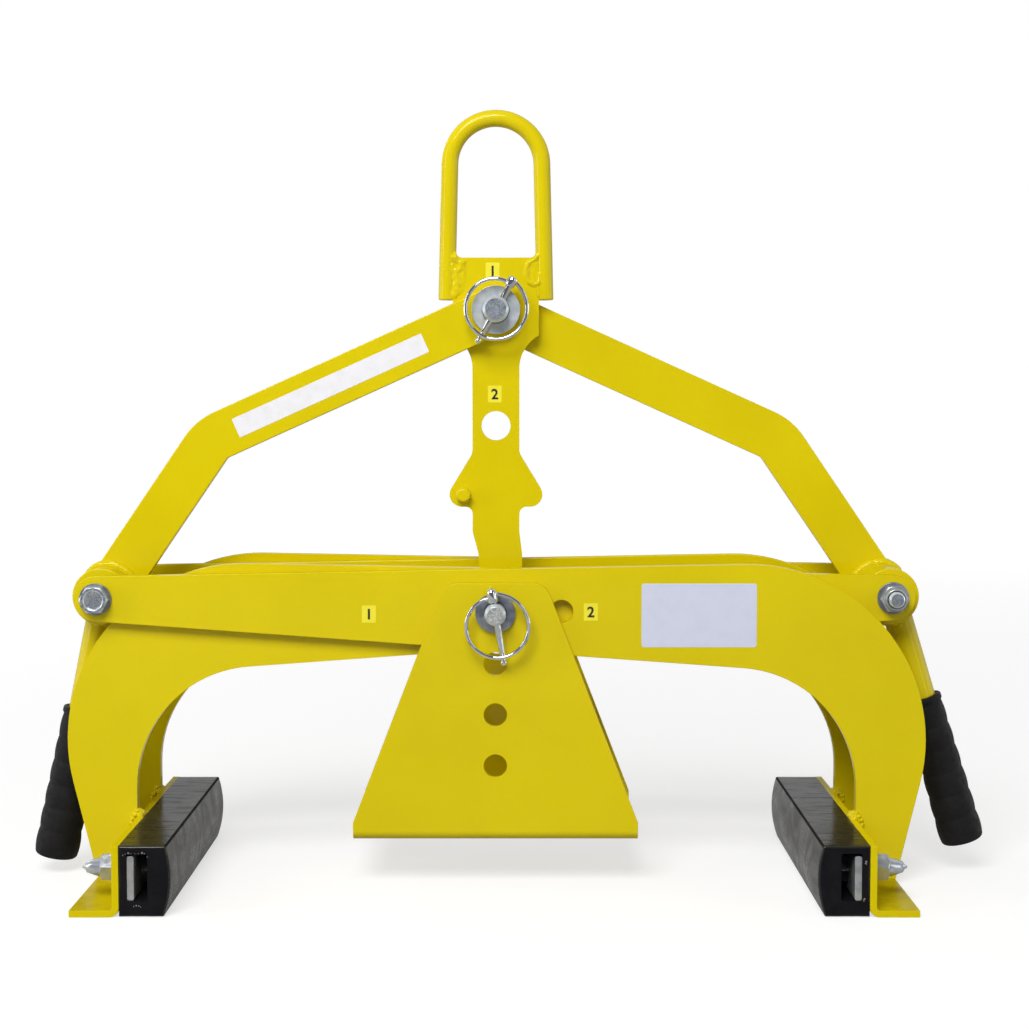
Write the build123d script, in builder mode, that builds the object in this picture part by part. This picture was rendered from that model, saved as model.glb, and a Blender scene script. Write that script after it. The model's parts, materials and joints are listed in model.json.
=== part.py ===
"""Block laying tongs: scissor arms with rubber jaws, cranked links, a lifting eye and an adjustable depth stop.

Millimetres, +Z up, the front of the tongs towards -Y. The origin is the centre of the depth stop's underside,
the face that sits on the block. The tongs stand on their jaw feet, fully open.
"""
from build123d import *
import math
import os

os.makedirs("parts", exist_ok=True)

# Clearances
RUN = 0.5           # side gap between plates that slide past each other
SEAT = 0.3          # end gap of washers, heads and sleeves that stay loose
PIN_PLAY = 1.5      # how much wider an arm or stop hole is than the centre pin
BOLT_PLAY = 0.8     # how much wider a bolted hole is than its bolt
LINK_PLAY = 5.0     # how much wider a link's top hole is than the top pin
STRAP_PLAY = 2.5    # how much wider a suspension hole is than the top pin
FOOT_GAP = 0.4      # suspension plate's foot above the centre spacer
GRIP_FIT = 0.1

# Plate thicknesses
ARM_PLATE = 8.0
LINK_PLATE = 8.0
SUSPENSION_PLATE = 10.0
STOP_PLATE = 5.0
ANGLE_PLATE = 5.0
FOLD_RADIUS = 2.0   # inside radius of folded plate
ARM_GAP = 80.0      # clear width between the two innermost arm plates

# Heights
STOP_DROP = 172.2   # centre pivot down to the depth stop's underside
FOOT_DROP = 208.3   # centre pivot down to the floor
TOP_RISE = 227.0    # centre pivot up to the top pin

# Scissor arms
BOLT_REACH = 299.5  # centre pivot to an outer bolt, sideways
BOLT_RISE = 9.5     # centre pivot to an outer bolt, upwards
ARM_END_RADIUS = 17.0
HOOK_RADIUS = 134.1
HOOK_INSET = 14.2   # outer bolt to the nearest point of the hook's outer curve, inwards
HOOK_DROP = 14.0    # outer bolt to the nearest point of the hook's outer curve, downwards
THROAT_RADIUS = 92.2
THROAT_DROP = 134.6
JAW_LEAN = 13.6
ARM_HOLE_PITCH = 49.6
HEEL_CHAMFER = 4.0  # clears the fold of the jaw angle

# Jaws
FOOT_WIDTH = 35.7
ANGLE_HEIGHT = 51.2
PAD_LENGTH = 250.0
PAD_SHIFT = -20.0   # the pads reach further forward than back
PAD_HEIGHT = 50.7
PAD_LIFT = 0.5
PAD_TOP_DEPTH = 33.3
PAD_CROWN_DEPTH = 36.9
PAD_BOTTOM_DEPTH = 31.8
PAD_CORNER = 3.0
PAD_BACK_WALL = 5.7
SLOT_WIDTH = 14.7
SLOT_HEIGHT = 33.8
SLOT_LIFT = 11.8
SLOT_CORNER = 1.5
STRIP_THICKNESS = 5.0
STRIP_CLEAR = 2.0   # headroom over the clamp strip in its slot
STRIP_INSET = 1.5   # how far the clamp strip's ends lie inside the pad
PAD_BOLT_FRONT = 52.5  # pad bolts in front of and behind the outermost arm plates
PAD_BOLT_REAR = 14.5

# Links
LINK_WIDTH = 36.3
ELBOW_X = 218.4
ELBOW_RISE = 128.2
ELBOW_RADIUS = 55.0
ELBOW_INNER_RADIUS = 5.0
LINK_END_ROUND = 0.495  # end radius as a share of the link's width
BOSS_DIAMETER = 43.0
SPACER_DIAMETER = 26.0

# Handles
ROD_DIAMETER = 22.0
ROD_WALL = 3.0
ROD_Y = -10.0
ROD_LEAN = {"left": 11.4, "right": 16.8}     # degrees from the vertical, outwards
ROD_OFFSET = {"left": 2.4, "right": 5.5}     # outwards from the boss's axis
GRIP_START = {"left": 92.0, "right": 85.8}   # boss's axis to the grip's top, along the rod
GRIP_LENGTH = 117.7
GRIP_CAP = 8.0
GRIP_COLLAR = 6.0
GRIP_COLLAR_DIAMETER = 30.4
GRIP_TOP_DIAMETER = 28.6
GRIP_END_DIAMETER = 33.0
GRIP_RIPPLES = 6
GRIP_RIPPLE_RISE = 0.7
GRIP_END_ROUND = 5.0

# Suspension plate and lifting eye
EYE_BAR = 13.0
EYE_RADIUS = 35.3   # to the bar's centre line
EYE_RISE = 111.5    # top pin to the centre of the eye's bend
EYE_SPLAY = 1.4     # degrees that each leg leans outwards
EYE_LEG_END = 8.0   # the legs end this far above the top pin
HEAD_HALF_WIDTH = 33.1
HEAD_RISE = 40.4
HEAD_CORNER = 6.0
STRAP_HALF_WIDTH = 18.1
FLARE_RADIUS = 29.0
FLARE_END = 44.5    # top pin to the end of the flare, downwards
STRAP_HOLE_PITCH = 88.6
EAR_START = 109.7
EAR_UNDERSIDE = 151.2
EAR_ANGLE = 31.2
EAR_RADIUS = 9.5
EAR_TOP_RADIUS = 10.0
NECK_RADIUS = 5.5
TONGUE_START = 170.9
TONGUE_END = 187.9
TONGUE_LEFT = 13.5
TONGUE_RIGHT = 20.2
TONGUE_RADIUS = 12.0
TONGUE_CORNER = 3.0
STUD_INSET = 25.0
STUD_RISE = 9.3     # above the ear's underside
STUD_DIAMETER = 11.0
STUD_SHANK = 8.0
STUD_LENGTH = 9.0
STUD_ROUND = 2.0

# Depth stop
STOP_HALF_WIDTH = 107.2
STOP_SKIRT = 13.3
STOP_CREST = 22.0   # centre pivot to the stop's top edge
STOP_CREST_HALF_WIDTH = 37.4
STOP_CREST_RADIUS = 15.0
STOP_HOLE_PITCH = 38.6
STOP_HOLES = 4

# Pins, washers and linch pins
CENTRE_PIN = 16.0
CENTRE_PIN_HEAD = 26.0
CENTRE_WASHER = 30.0
SPACER_TUBE = 24.0
SPACER_PLAY = 0.6
TOP_PIN = 20.0
TOP_PIN_HEAD = 32.0
TOP_WASHER = 37.0
PIN_HEAD_HEIGHT = 6.0
PIN_WASHER_HEIGHT = 3.0
PIN_WASHER_PLAY = 1.0
PIN_NOSE = 12.0     # pin end beyond the linch pin's axis
PIN_CHAMFER = 2.0
LINCH_DIAMETER = 6.0
LINCH_PLAY = 0.6
LINCH_REACH = 49.2  # ring's hinge to the tip
LINCH_TIP = 1.5
LUG_WIDTH = 9.0
LUG_HEIGHT = 10.0
LUG_WALL = 2.2      # metal in front of the ring's hole
LUG_ROUND = 3.0
TOP_LINCH_HEAD = 23.9       # pin's axis to the ring's hinge
TOP_LINCH_TURN = 30.0       # degrees from upright, clockwise from the front
CENTRE_LINCH_HEAD = 13.8
CENTRE_LINCH_TURN = -10.0
RING_DIAMETER = 46.5
RING_WIRE = 3.5
RING_PLAY = 1.6
RING_GAP = 4.0      # degrees between the wire's ends inside the lug
RING_CLEAR = 0.4

# Bolts and nuts, all of one size
BOLT = 12.0
FLATS = 19.0
BOLT_HEAD = 7.5
BOLT_WASHER = 24.0
BOLT_WASHER_HEIGHT = 2.5
NUT_HEX = 8.0
NUT_COLLAR = 4.0
NUT_COLLAR_DIAMETER = 16.6
BOLT_END = 3.5      # bolt end that shows past its nut
CAP_NUT_HEX = 14.0
CAP_NUT_WALL = 1.5
CAP_NUT_CONE_BASE = 15.0
CAP_NUT_CONE_TOP = 8.0
CAP_NUT_CONE = 11.0
CAP_NUT_POINT = 3.5
CAP_NUT_TIP = 1.0
CHAMFER_TAPER = 60.0

# Places that follow from the driving dimensions
SIDES = {"left": -1, "right": 1}
PIVOT_Z = STOP_DROP
FLOOR_Z = PIVOT_Z - FOOT_DROP
TOP_Z = PIVOT_Z + TOP_RISE
BOLT_Z = PIVOT_Z + BOLT_RISE
FOOT_TOP_Z = FLOOR_Z + ANGLE_PLATE
INNER_Y = ARM_GAP / 2 + ARM_PLATE / 2
OUTER_Y = INNER_Y + ARM_PLATE + RUN
ARM_YS = {"right": {"front": -OUTER_Y, "rear": INNER_Y}, "left": {"front": -INNER_Y, "rear": OUTER_Y}}
INNER_FACE = INNER_Y + ARM_PLATE / 2
OUTER_FACE = OUTER_Y + ARM_PLATE / 2
LINK_Y = SUSPENSION_PLATE / 2 + RUN + LINK_PLATE / 2
LINK_FACE = LINK_Y + LINK_PLATE / 2
STOP_INSIDE = OUTER_FACE + RUN
STOP_OUTSIDE = STOP_INSIDE + STOP_PLATE
TUBE_LENGTH = ARM_GAP - 2 * SEAT
HOOK_SHIFT = 1 + HOOK_RADIUS / math.hypot(HOOK_INSET, HOOK_DROP)
HOOK = (BOLT_REACH - HOOK_INSET * HOOK_SHIFT, BOLT_Z - HOOK_DROP * HOOK_SHIFT)
JAW_EDGE = (HOOK[0] + HOOK_RADIUS * math.cos(math.radians(JAW_LEAN)),
            HOOK[1] - HOOK_RADIUS * math.sin(math.radians(JAW_LEAN)))
TOE_X = JAW_EDGE[0] - (JAW_EDGE[1] - FOOT_TOP_Z) * math.tan(math.radians(JAW_LEAN))
JAW_X = TOE_X - FOOT_WIDTH
ANGLE_BACK_X = JAW_X + ANGLE_PLATE
SLOT_BACK_X = JAW_X - PAD_BACK_WALL
STRIP_FACE_X = SLOT_BACK_X - STRIP_THICKNESS
STRIP_HEIGHT = SLOT_HEIGHT - STRIP_CLEAR
PAD_BOLT_Z = FLOOR_Z + SLOT_LIFT + STRIP_HEIGHT / 2
PAD_BOLT_YS = (-OUTER_FACE - PAD_BOLT_FRONT, OUTER_FACE + PAD_BOLT_REAR)


def side_plane(sign, y):
    """Upright plane at depth y; its first axis runs outwards to the given side, its second runs up."""
    return Plane(origin=(0, y, 0), x_dir=(sign, 0, 0), z_dir=(0, -sign, 0))


def depth_plane(x, y, z, facing):
    """Upright plane through a point, facing the front (-1) or the rear (1)."""
    return Plane(origin=(x, y, z), x_dir=(1, 0, 0), z_dir=(0, facing, 0))


def near(shape, *points):
    """The vertices of a sketch nearest to the given points of its own plane."""
    return [shape.vertices().sort_by_distance((x, y, 0))[0] for x, y in points]


def on_circle(centre, radius, degrees):
    angle = math.radians(degrees)
    return (centre[0] + radius * math.cos(angle), centre[1] + radius * math.sin(angle))


def touch_points(first, first_radius, second, second_radius):
    """Where a line touches two circles; a positive radius lies on the left of the way along it."""
    dx = second[0] - first[0]
    dz = second[1] - first[1]
    angle = math.atan2(dz, dx) - math.asin((first_radius - second_radius) / math.hypot(dx, dz))
    left = math.degrees(angle) + 90
    return on_circle(first, first_radius, left), on_circle(second, second_radius, left)


def save(shape, name):
    shape.part.label = name
    export_step(shape.part, f"parts/{name}.step")


def disc(plane, diameter, height):
    """Round bar standing on the plane."""
    with BuildPart() as cylinder:
        with BuildSketch(plane):
            Circle(diameter / 2)
        extrude(amount=height)
    return cylinder.part


def washer(plane, outer, inner, height):
    """Flat ring standing on the plane."""
    with BuildPart() as ring:
        with BuildSketch(plane):
            Circle(outer / 2)
            Circle(inner / 2, mode=Mode.SUBTRACT)
        extrude(amount=height)
    return ring.part


def hexagon(plane, height):
    """Hexagonal prism standing on the plane, its far corners chamfered."""
    with BuildPart() as prism:
        with BuildSketch(plane):
            RegularPolygon(FLATS / 2, 6, major_radius=False)
        extrude(amount=height)
        top = plane.offset(height)
        with BuildSketch(Plane(origin=top.origin, x_dir=top.x_dir, z_dir=-top.z_dir)):
            Circle(FLATS / 2)
        extrude(amount=height, taper=-CHAMFER_TAPER, mode=Mode.INTERSECT)
    return prism.part


def hex_bolt(plane, length):
    """Bolt whose head stands on the plane while its shank goes the other way."""
    with BuildPart() as bolt:
        add(hexagon(plane, BOLT_HEAD))
        add(disc(plane, BOLT, -length))
    return bolt.part


def lock_nut(plane):
    """Nut with a round locking collar, standing on the plane."""
    with BuildPart() as nut:
        add(hexagon(plane, NUT_HEX))
        add(disc(plane, NUT_COLLAR_DIAMETER, NUT_HEX + NUT_COLLAR))
        add(disc(plane, BOLT, NUT_HEX + NUT_COLLAR), mode=Mode.SUBTRACT)
    return nut.part


def cap_nut(plane):
    """Tall closed nut with a cone and a point, standing on the plane."""
    with BuildPart() as nut:
        add(hexagon(plane, CAP_NUT_HEX))
        with BuildSketch(plane.offset(CAP_NUT_HEX)):
            Circle(CAP_NUT_CONE_BASE / 2)
        with BuildSketch(plane.offset(CAP_NUT_HEX + CAP_NUT_CONE)):
            Circle(CAP_NUT_CONE_TOP / 2)
        loft()
        with BuildSketch(plane.offset(CAP_NUT_HEX + CAP_NUT_CONE)):
            Circle(CAP_NUT_CONE_TOP / 2)
        with BuildSketch(plane.offset(CAP_NUT_HEX + CAP_NUT_CONE + CAP_NUT_POINT)):
            Circle(CAP_NUT_TIP / 2)
        loft()
        add(disc(plane, BOLT, CAP_NUT_HEX - CAP_NUT_WALL), mode=Mode.SUBTRACT)
    return nut.part


# Scissor arms: two hooked plates each, from the outer bolt of one side to the jaw of the other
def arm_outline():
    """Straight bar that swells into a hook; drawn for the arm whose jaw is on the outward side."""
    bolt_end = (-BOLT_REACH, BOLT_Z)
    throat = (ANGLE_BACK_X - THROAT_RADIUS, PIVOT_Z - THROAT_DROP)
    top_start, top_end = touch_points(bolt_end, ARM_END_RADIUS, HOOK, HOOK_RADIUS)
    under_start, under_end = touch_points(bolt_end, -ARM_END_RADIUS, throat, THROAT_RADIUS)
    throat_foot = (ANGLE_BACK_X, throat[1])
    with BuildSketch() as outline:
        with BuildLine():
            Line(top_start, top_end)
            ThreePointArc(top_end, on_circle(HOOK, HOOK_RADIUS, 40), JAW_EDGE)
            Polyline(JAW_EDGE, (TOE_X, FOOT_TOP_Z), (ANGLE_BACK_X + HEEL_CHAMFER, FOOT_TOP_Z),
                     (ANGLE_BACK_X, FOOT_TOP_Z + HEEL_CHAMFER), throat_foot)
            ThreePointArc(throat_foot, on_circle(throat, THROAT_RADIUS, 45), under_end)
            Line(under_end, under_start)
            ThreePointArc(under_start, on_circle(bolt_end, ARM_END_RADIUS, 180), top_start)
        make_face()
        with Locations((0, PIVOT_Z), (ARM_HOLE_PITCH, PIVOT_Z)):
            Circle((CENTRE_PIN + PIN_PLAY) / 2, mode=Mode.SUBTRACT)
        with Locations(bolt_end):
            Circle((BOLT + BOLT_PLAY) / 2, mode=Mode.SUBTRACT)
    return outline.sketch


for side, sign in SIDES.items():
    for place, y in ARM_YS[side].items():
        with BuildPart() as arm_plate:
            with BuildSketch(side_plane(sign, y)):
                add(arm_outline())
            extrude(amount=ARM_PLATE / 2, both=True)
        save(arm_plate, f"{side}_arm_{place}_plate")

# Jaws: a folded angle, a slotted rubber pad, and a strip that clamps the pad from inside its slot
for side, sign in SIDES.items():
    bolt_planes = [Plane(origin=(0, y, PAD_BOLT_Z), x_dir=(0, 1, 0), z_dir=(sign, 0, 0)) for y in PAD_BOLT_YS]
    middle = side_plane(sign, PAD_SHIFT)

    with BuildPart() as jaw_angle:
        with BuildSketch(middle) as outline:
            with BuildLine():
                Polyline((JAW_X, FLOOR_Z), (TOE_X, FLOOR_Z), (TOE_X, FOOT_TOP_Z), (ANGLE_BACK_X, FOOT_TOP_Z),
                         (ANGLE_BACK_X, FLOOR_Z + ANGLE_HEIGHT), (JAW_X, FLOOR_Z + ANGLE_HEIGHT), close=True)
            make_face()
            fillet(near(outline.sketch_local, (JAW_X, FLOOR_Z)), FOLD_RADIUS + ANGLE_PLATE)
            fillet(near(outline.sketch_local, (ANGLE_BACK_X, FOOT_TOP_Z)), FOLD_RADIUS)
        extrude(amount=PAD_LENGTH / 2, both=True)
        for plane in bolt_planes:
            add(disc(plane.offset(JAW_X), BOLT + BOLT_PLAY, ANGLE_PLATE), mode=Mode.SUBTRACT)
    save(jaw_angle, f"{side}_jaw_angle")

    pad_bottom = FLOOR_Z + PAD_LIFT
    pad_top = pad_bottom + PAD_HEIGHT
    face_top = (JAW_X - PAD_TOP_DEPTH, pad_top)
    face_bottom = (JAW_X - PAD_BOTTOM_DEPTH, pad_bottom)
    with BuildPart() as pad:
        with BuildSketch(middle) as outline:
            with BuildLine():
                Polyline(face_top, (JAW_X, pad_top), (JAW_X, pad_bottom), face_bottom)
                ThreePointArc(face_bottom, (JAW_X - PAD_CROWN_DEPTH, (pad_top + pad_bottom) / 2), face_top)
            make_face()
            fillet(near(outline.sketch_local, face_top, face_bottom), PAD_CORNER)
            with Locations((SLOT_BACK_X - SLOT_WIDTH / 2, FLOOR_Z + SLOT_LIFT + SLOT_HEIGHT / 2)):
                RectangleRounded(SLOT_WIDTH, SLOT_HEIGHT, SLOT_CORNER, mode=Mode.SUBTRACT)
        extrude(amount=PAD_LENGTH / 2, both=True)
        for plane in bolt_planes:
            add(disc(plane.offset(SLOT_BACK_X), BOLT + BOLT_PLAY, PAD_BACK_WALL), mode=Mode.SUBTRACT)
    save(pad, f"{side}_pad")

    with BuildPart() as clamp_strip:
        with BuildSketch(middle):
            with Locations((SLOT_BACK_X - STRIP_THICKNESS / 2, PAD_BOLT_Z)):
                RectangleRounded(STRIP_THICKNESS, STRIP_HEIGHT, SLOT_CORNER)
        extrude(amount=PAD_LENGTH / 2 - STRIP_INSET, both=True)
        for plane in bolt_planes:
            add(disc(plane.offset(STRIP_FACE_X), BOLT + BOLT_PLAY, STRIP_THICKNESS), mode=Mode.SUBTRACT)
    save(clamp_strip, f"{side}_clamp_strip")

    grip_length = ANGLE_BACK_X - STRIP_FACE_X
    with BuildPart() as pad_bolts:
        for y in PAD_BOLT_YS:
            head = Plane(origin=(sign * STRIP_FACE_X, y, PAD_BOLT_Z), x_dir=(0, 1, 0), z_dir=(-sign, 0, 0))
            add(hex_bolt(head, grip_length + CAP_NUT_HEX - CAP_NUT_WALL))
    save(pad_bolts, f"{side}_pad_bolts")

    with BuildPart() as pad_nuts:
        for plane in bolt_planes:
            add(cap_nut(plane.offset(ANGLE_BACK_X)))
    save(pad_nuts, f"{side}_pad_nuts")

# Outer pivots: a bolt through both plates of one arm carries a link's boss; the two sides face opposite ways
for side, sign in SIDES.items():
    x = sign * BOLT_REACH
    head_seat = OUTER_FACE + BOLT_WASHER_HEIGHT
    nut_seat = INNER_FACE + BOLT_WASHER_HEIGHT

    with BuildPart() as pivot_bolt:
        add(hex_bolt(depth_plane(x, sign * head_seat, BOLT_Z, sign),
                     head_seat + nut_seat + NUT_HEX + NUT_COLLAR + BOLT_END))
    save(pivot_bolt, f"{side}_pivot_bolt")

    with BuildPart() as pivot_washers:
        add(washer(depth_plane(x, sign * OUTER_FACE, BOLT_Z, sign), BOLT_WASHER, BOLT + BOLT_PLAY,
                   BOLT_WASHER_HEIGHT))
        add(washer(depth_plane(x, -sign * INNER_FACE, BOLT_Z, -sign), BOLT_WASHER, BOLT + BOLT_PLAY,
                   BOLT_WASHER_HEIGHT))
    save(pivot_washers, f"{side}_pivot_washers")

    with BuildPart() as pivot_nut:
        add(lock_nut(depth_plane(x, -sign * nut_seat, BOLT_Z, -sign)))
    save(pivot_nut, f"{side}_pivot_nut")

    with BuildPart() as pivot_spacer:
        add(washer(depth_plane(x, sign * ARM_GAP / 2, BOLT_Z, sign), SPACER_DIAMETER, BOLT + BOLT_PLAY,
                   ARM_PLATE + RUN - SEAT))
    save(pivot_spacer, f"{side}_pivot_spacer")


# Links: a cranked plate on a boss, with a handle rod and a rubber grip under the boss
def link_outline():
    """Cranked strip of even width from the top pin over the elbow to the boss."""
    top = Vector(0, TOP_Z)
    elbow = Vector(ELBOW_X, PIVOT_Z + ELBOW_RISE)
    boss = Vector(BOLT_REACH, BOLT_Z)
    upper = (elbow - top).normalized()
    lower = (boss - elbow).normalized()
    upper_out = Vector(-upper.Y, upper.X) * (LINK_WIDTH / 2)
    lower_out = Vector(-lower.Y, lower.X) * (LINK_WIDTH / 2)
    mitre = (upper_out + lower_out) / (1 + upper.dot(lower))
    end = top - upper * (LINK_WIDTH / 2)
    corners = (end + upper_out, elbow + mitre, boss + lower_out,
               boss - lower_out, elbow - mitre, end - upper_out)
    top_left, elbow_out, foot_out, foot_in, elbow_in, top_right = [(corner.X, corner.Y) for corner in corners]
    with BuildSketch() as outline:
        with BuildLine():
            Polyline(top_left, elbow_out, foot_out, foot_in, elbow_in, top_right, close=True)
        make_face()
        fillet(near(outline.sketch_local, top_left, top_right), LINK_WIDTH * LINK_END_ROUND)
        fillet(near(outline.sketch_local, elbow_out), ELBOW_RADIUS)
        fillet(near(outline.sketch_local, elbow_in), ELBOW_INNER_RADIUS)
        with Locations((0, TOP_Z)):
            Circle((TOP_PIN + LINK_PLAY) / 2, mode=Mode.SUBTRACT)
        with Locations((BOLT_REACH, BOLT_Z)):
            Circle(BOSS_DIAMETER / 2, mode=Mode.SUBTRACT)
    return outline.sketch


def grip_outline(top):
    """Half section of a grip: distance from the rod's axis, then distance along the rod."""
    bore = ROD_DIAMETER / 2 + GRIP_FIT
    end = top + GRIP_LENGTH
    neck = top + GRIP_COLLAR
    skirt = end - GRIP_END_ROUND
    collar_edge = GRIP_TOP_DIAMETER / 2
    ripple = (skirt - neck) / GRIP_RIPPLES
    swell = (GRIP_END_DIAMETER - GRIP_TOP_DIAMETER) / 2 / GRIP_RIPPLES
    with BuildSketch() as outline:
        with BuildLine():
            Line((bore, top), (collar_edge, top))
            ThreePointArc((collar_edge, top), (GRIP_COLLAR_DIAMETER / 2, top + GRIP_COLLAR / 2),
                          (collar_edge, neck))
            for step in range(GRIP_RIPPLES):
                start = (collar_edge + step * swell, neck + step * ripple)
                crest = (start[0] + swell / 2 + GRIP_RIPPLE_RISE, start[1] + ripple / 2)
                ThreePointArc(start, crest, (start[0] + swell, start[1] + ripple))
            RadiusArc((GRIP_END_DIAMETER / 2, skirt), (GRIP_END_DIAMETER / 2 - GRIP_END_ROUND, end),
                      -GRIP_END_ROUND)
            Polyline((GRIP_END_DIAMETER / 2 - GRIP_END_ROUND, end), (0, end), (0, end - GRIP_CAP),
                     (bore, end - GRIP_CAP), (bore, top))
        make_face()
    return outline.sketch


for side, sign in SIDES.items():
    boss_plane = depth_plane(sign * BOLT_REACH, TUBE_LENGTH / 2, BOLT_Z, -1)

    with BuildPart() as link_plate:
        with BuildSketch(side_plane(sign, sign * LINK_Y)):
            add(link_outline())
        extrude(amount=LINK_PLATE / 2, both=True)
    save(link_plate, f"{side}_link_plate")

    with BuildPart() as boss:
        add(washer(boss_plane, BOSS_DIAMETER, BOLT + BOLT_PLAY, TUBE_LENGTH))
    save(boss, f"{side}_boss")

    lean = math.radians(ROD_LEAN[side])
    rod_start = Vector(sign * (BOLT_REACH + ROD_OFFSET[side] * math.cos(lean)), ROD_Y,
                       BOLT_Z + ROD_OFFSET[side] * math.sin(lean))
    rod_way = Vector(sign * math.sin(lean), 0, -math.cos(lean))
    with BuildPart() as handle_rod:
        add(washer(Plane(origin=rod_start, x_dir=(0, 1, 0), z_dir=rod_way), ROD_DIAMETER,
                   ROD_DIAMETER - 2 * ROD_WALL, GRIP_START[side] + GRIP_LENGTH - GRIP_CAP))
        add(disc(boss_plane, BOSS_DIAMETER, TUBE_LENGTH), mode=Mode.SUBTRACT)
    save(handle_rod, f"{side}_handle_rod")

    with BuildPart() as grip:
        with BuildSketch(Plane(origin=rod_start, x_dir=(0, 1, 0), z_dir=Vector(0, 1, 0).cross(rod_way))):
            add(grip_outline(GRIP_START[side]))
        revolve(axis=Axis(rod_start, rod_way))
    save(grip, f"{side}_grip")

# Lifting eye: one bent bar, its legs let into the edges of the suspension plate
splay = math.radians(EYE_SPLAY)
bend_x = EYE_RADIUS * math.cos(splay)
bend_z = TOP_Z + EYE_RISE + EYE_RADIUS * math.sin(splay)
leg_z = TOP_Z + EYE_LEG_END
leg_x = bend_x + (bend_z - leg_z) * math.tan(splay)
with BuildPart() as lifting_eye:
    with BuildLine(Plane.XZ):
        Line((-leg_x, leg_z), (-bend_x, bend_z))
        ThreePointArc((-bend_x, bend_z), (0, TOP_Z + EYE_RISE + EYE_RADIUS), (bend_x, bend_z))
        Line((bend_x, bend_z), (leg_x, leg_z))
    with BuildSketch(Plane(origin=(-leg_x, 0, leg_z), z_dir=(leg_x - bend_x, 0, bend_z - leg_z))):
        Circle(EYE_BAR / 2)
    sweep()
save(lifting_eye, "lifting_eye")

# Suspension plate: a wide head, a strap with two holes, two ears, and a tongue that ends over the centre spacer
ear_x = STRAP_HALF_WIDTH + (EAR_UNDERSIDE - EAR_START) * math.tan(math.radians(EAR_ANGLE))
flare_centre = (STRAP_HALF_WIDTH + FLARE_RADIUS, TOP_Z - FLARE_END)
flare_turn = math.degrees(math.acos((flare_centre[0] - HEAD_HALF_WIDTH) / FLARE_RADIUS))
flare_top = on_circle(flare_centre, FLARE_RADIUS, 180 - flare_turn)
flare_middle = on_circle(flare_centre, FLARE_RADIUS, 180 - flare_turn / 2)
foot_radius = TOP_RISE - SPACER_TUBE / 2 - FOOT_GAP
ear_tips = []
necks = []
ear_tops = []
tongue_bends = []
tongue_ends = []
with BuildPart() as suspension_plate:
    with BuildSketch(depth_plane(0, 0, 0, -1)) as outline:
        with BuildLine():
            Line((-HEAD_HALF_WIDTH, TOP_Z + HEAD_RISE), (HEAD_HALF_WIDTH, TOP_Z + HEAD_RISE))
            for sign, tongue in ((-1, TONGUE_LEFT), (1, TONGUE_RIGHT)):
                tongue_end = (sign * tongue, TOP_Z - math.sqrt(foot_radius ** 2 - tongue ** 2))
                ear_top = (sign * STRAP_HALF_WIDTH, TOP_Z - EAR_START)
                ear_tip = (sign * ear_x, TOP_Z - EAR_UNDERSIDE)
                neck = (sign * STRAP_HALF_WIDTH, TOP_Z - EAR_UNDERSIDE)
                bends = ((sign * STRAP_HALF_WIDTH, TOP_Z - TONGUE_START), (sign * tongue, TOP_Z - TONGUE_END))
                Line((sign * HEAD_HALF_WIDTH, TOP_Z + HEAD_RISE), (sign * flare_top[0], flare_top[1]))
                ThreePointArc((sign * flare_top[0], flare_top[1]), (sign * flare_middle[0], flare_middle[1]),
                              (sign * STRAP_HALF_WIDTH, flare_centre[1]))
                Polyline((sign * STRAP_HALF_WIDTH, flare_centre[1]), ear_top, ear_tip, neck, *bends, tongue_end)
                ear_tops.append(ear_top)
                ear_tips.append(ear_tip)
                necks.append(neck)
                tongue_bends.extend(bends)
                tongue_ends.append(tongue_end)
            ThreePointArc(tongue_ends[0], (0, TOP_Z - foot_radius), tongue_ends[1])
        make_face()
        head_corners = [(sign * HEAD_HALF_WIDTH, TOP_Z + HEAD_RISE) for sign in (-1, 1)]
        fillet(near(outline.sketch_local, *head_corners), HEAD_CORNER)
        fillet(near(outline.sketch_local, *ear_tops), EAR_TOP_RADIUS)
        fillet(near(outline.sketch_local, *ear_tips), EAR_RADIUS)
        fillet(near(outline.sketch_local, *necks), NECK_RADIUS)
        fillet(near(outline.sketch_local, *tongue_bends), TONGUE_RADIUS)
        fillet(near(outline.sketch_local, *tongue_ends), TONGUE_CORNER)
        with Locations((0, TOP_Z), (0, TOP_Z - STRAP_HOLE_PITCH)):
            Circle((TOP_PIN + STRAP_PLAY) / 2, mode=Mode.SUBTRACT)
        with Locations((-STUD_INSET, TOP_Z - EAR_UNDERSIDE + STUD_RISE)):
            Circle(STUD_SHANK / 2, mode=Mode.SUBTRACT)
    extrude(amount=SUSPENSION_PLATE / 2, both=True)
    add(lifting_eye.part, mode=Mode.SUBTRACT)
save(suspension_plate, "suspension_plate")

# Thumb stud riveted through the left ear
with BuildPart() as thumb_stud:
    stud_face = depth_plane(-STUD_INSET, -SUSPENSION_PLATE / 2, TOP_Z - EAR_UNDERSIDE + STUD_RISE, -1)
    add(disc(stud_face, STUD_DIAMETER, STUD_LENGTH))
    fillet(thumb_stud.edges().sort_by(Axis.Y)[0], STUD_ROUND)
    add(disc(stud_face, STUD_SHANK, -SUSPENSION_PLATE))
save(thumb_stud, "thumb_stud")

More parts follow.
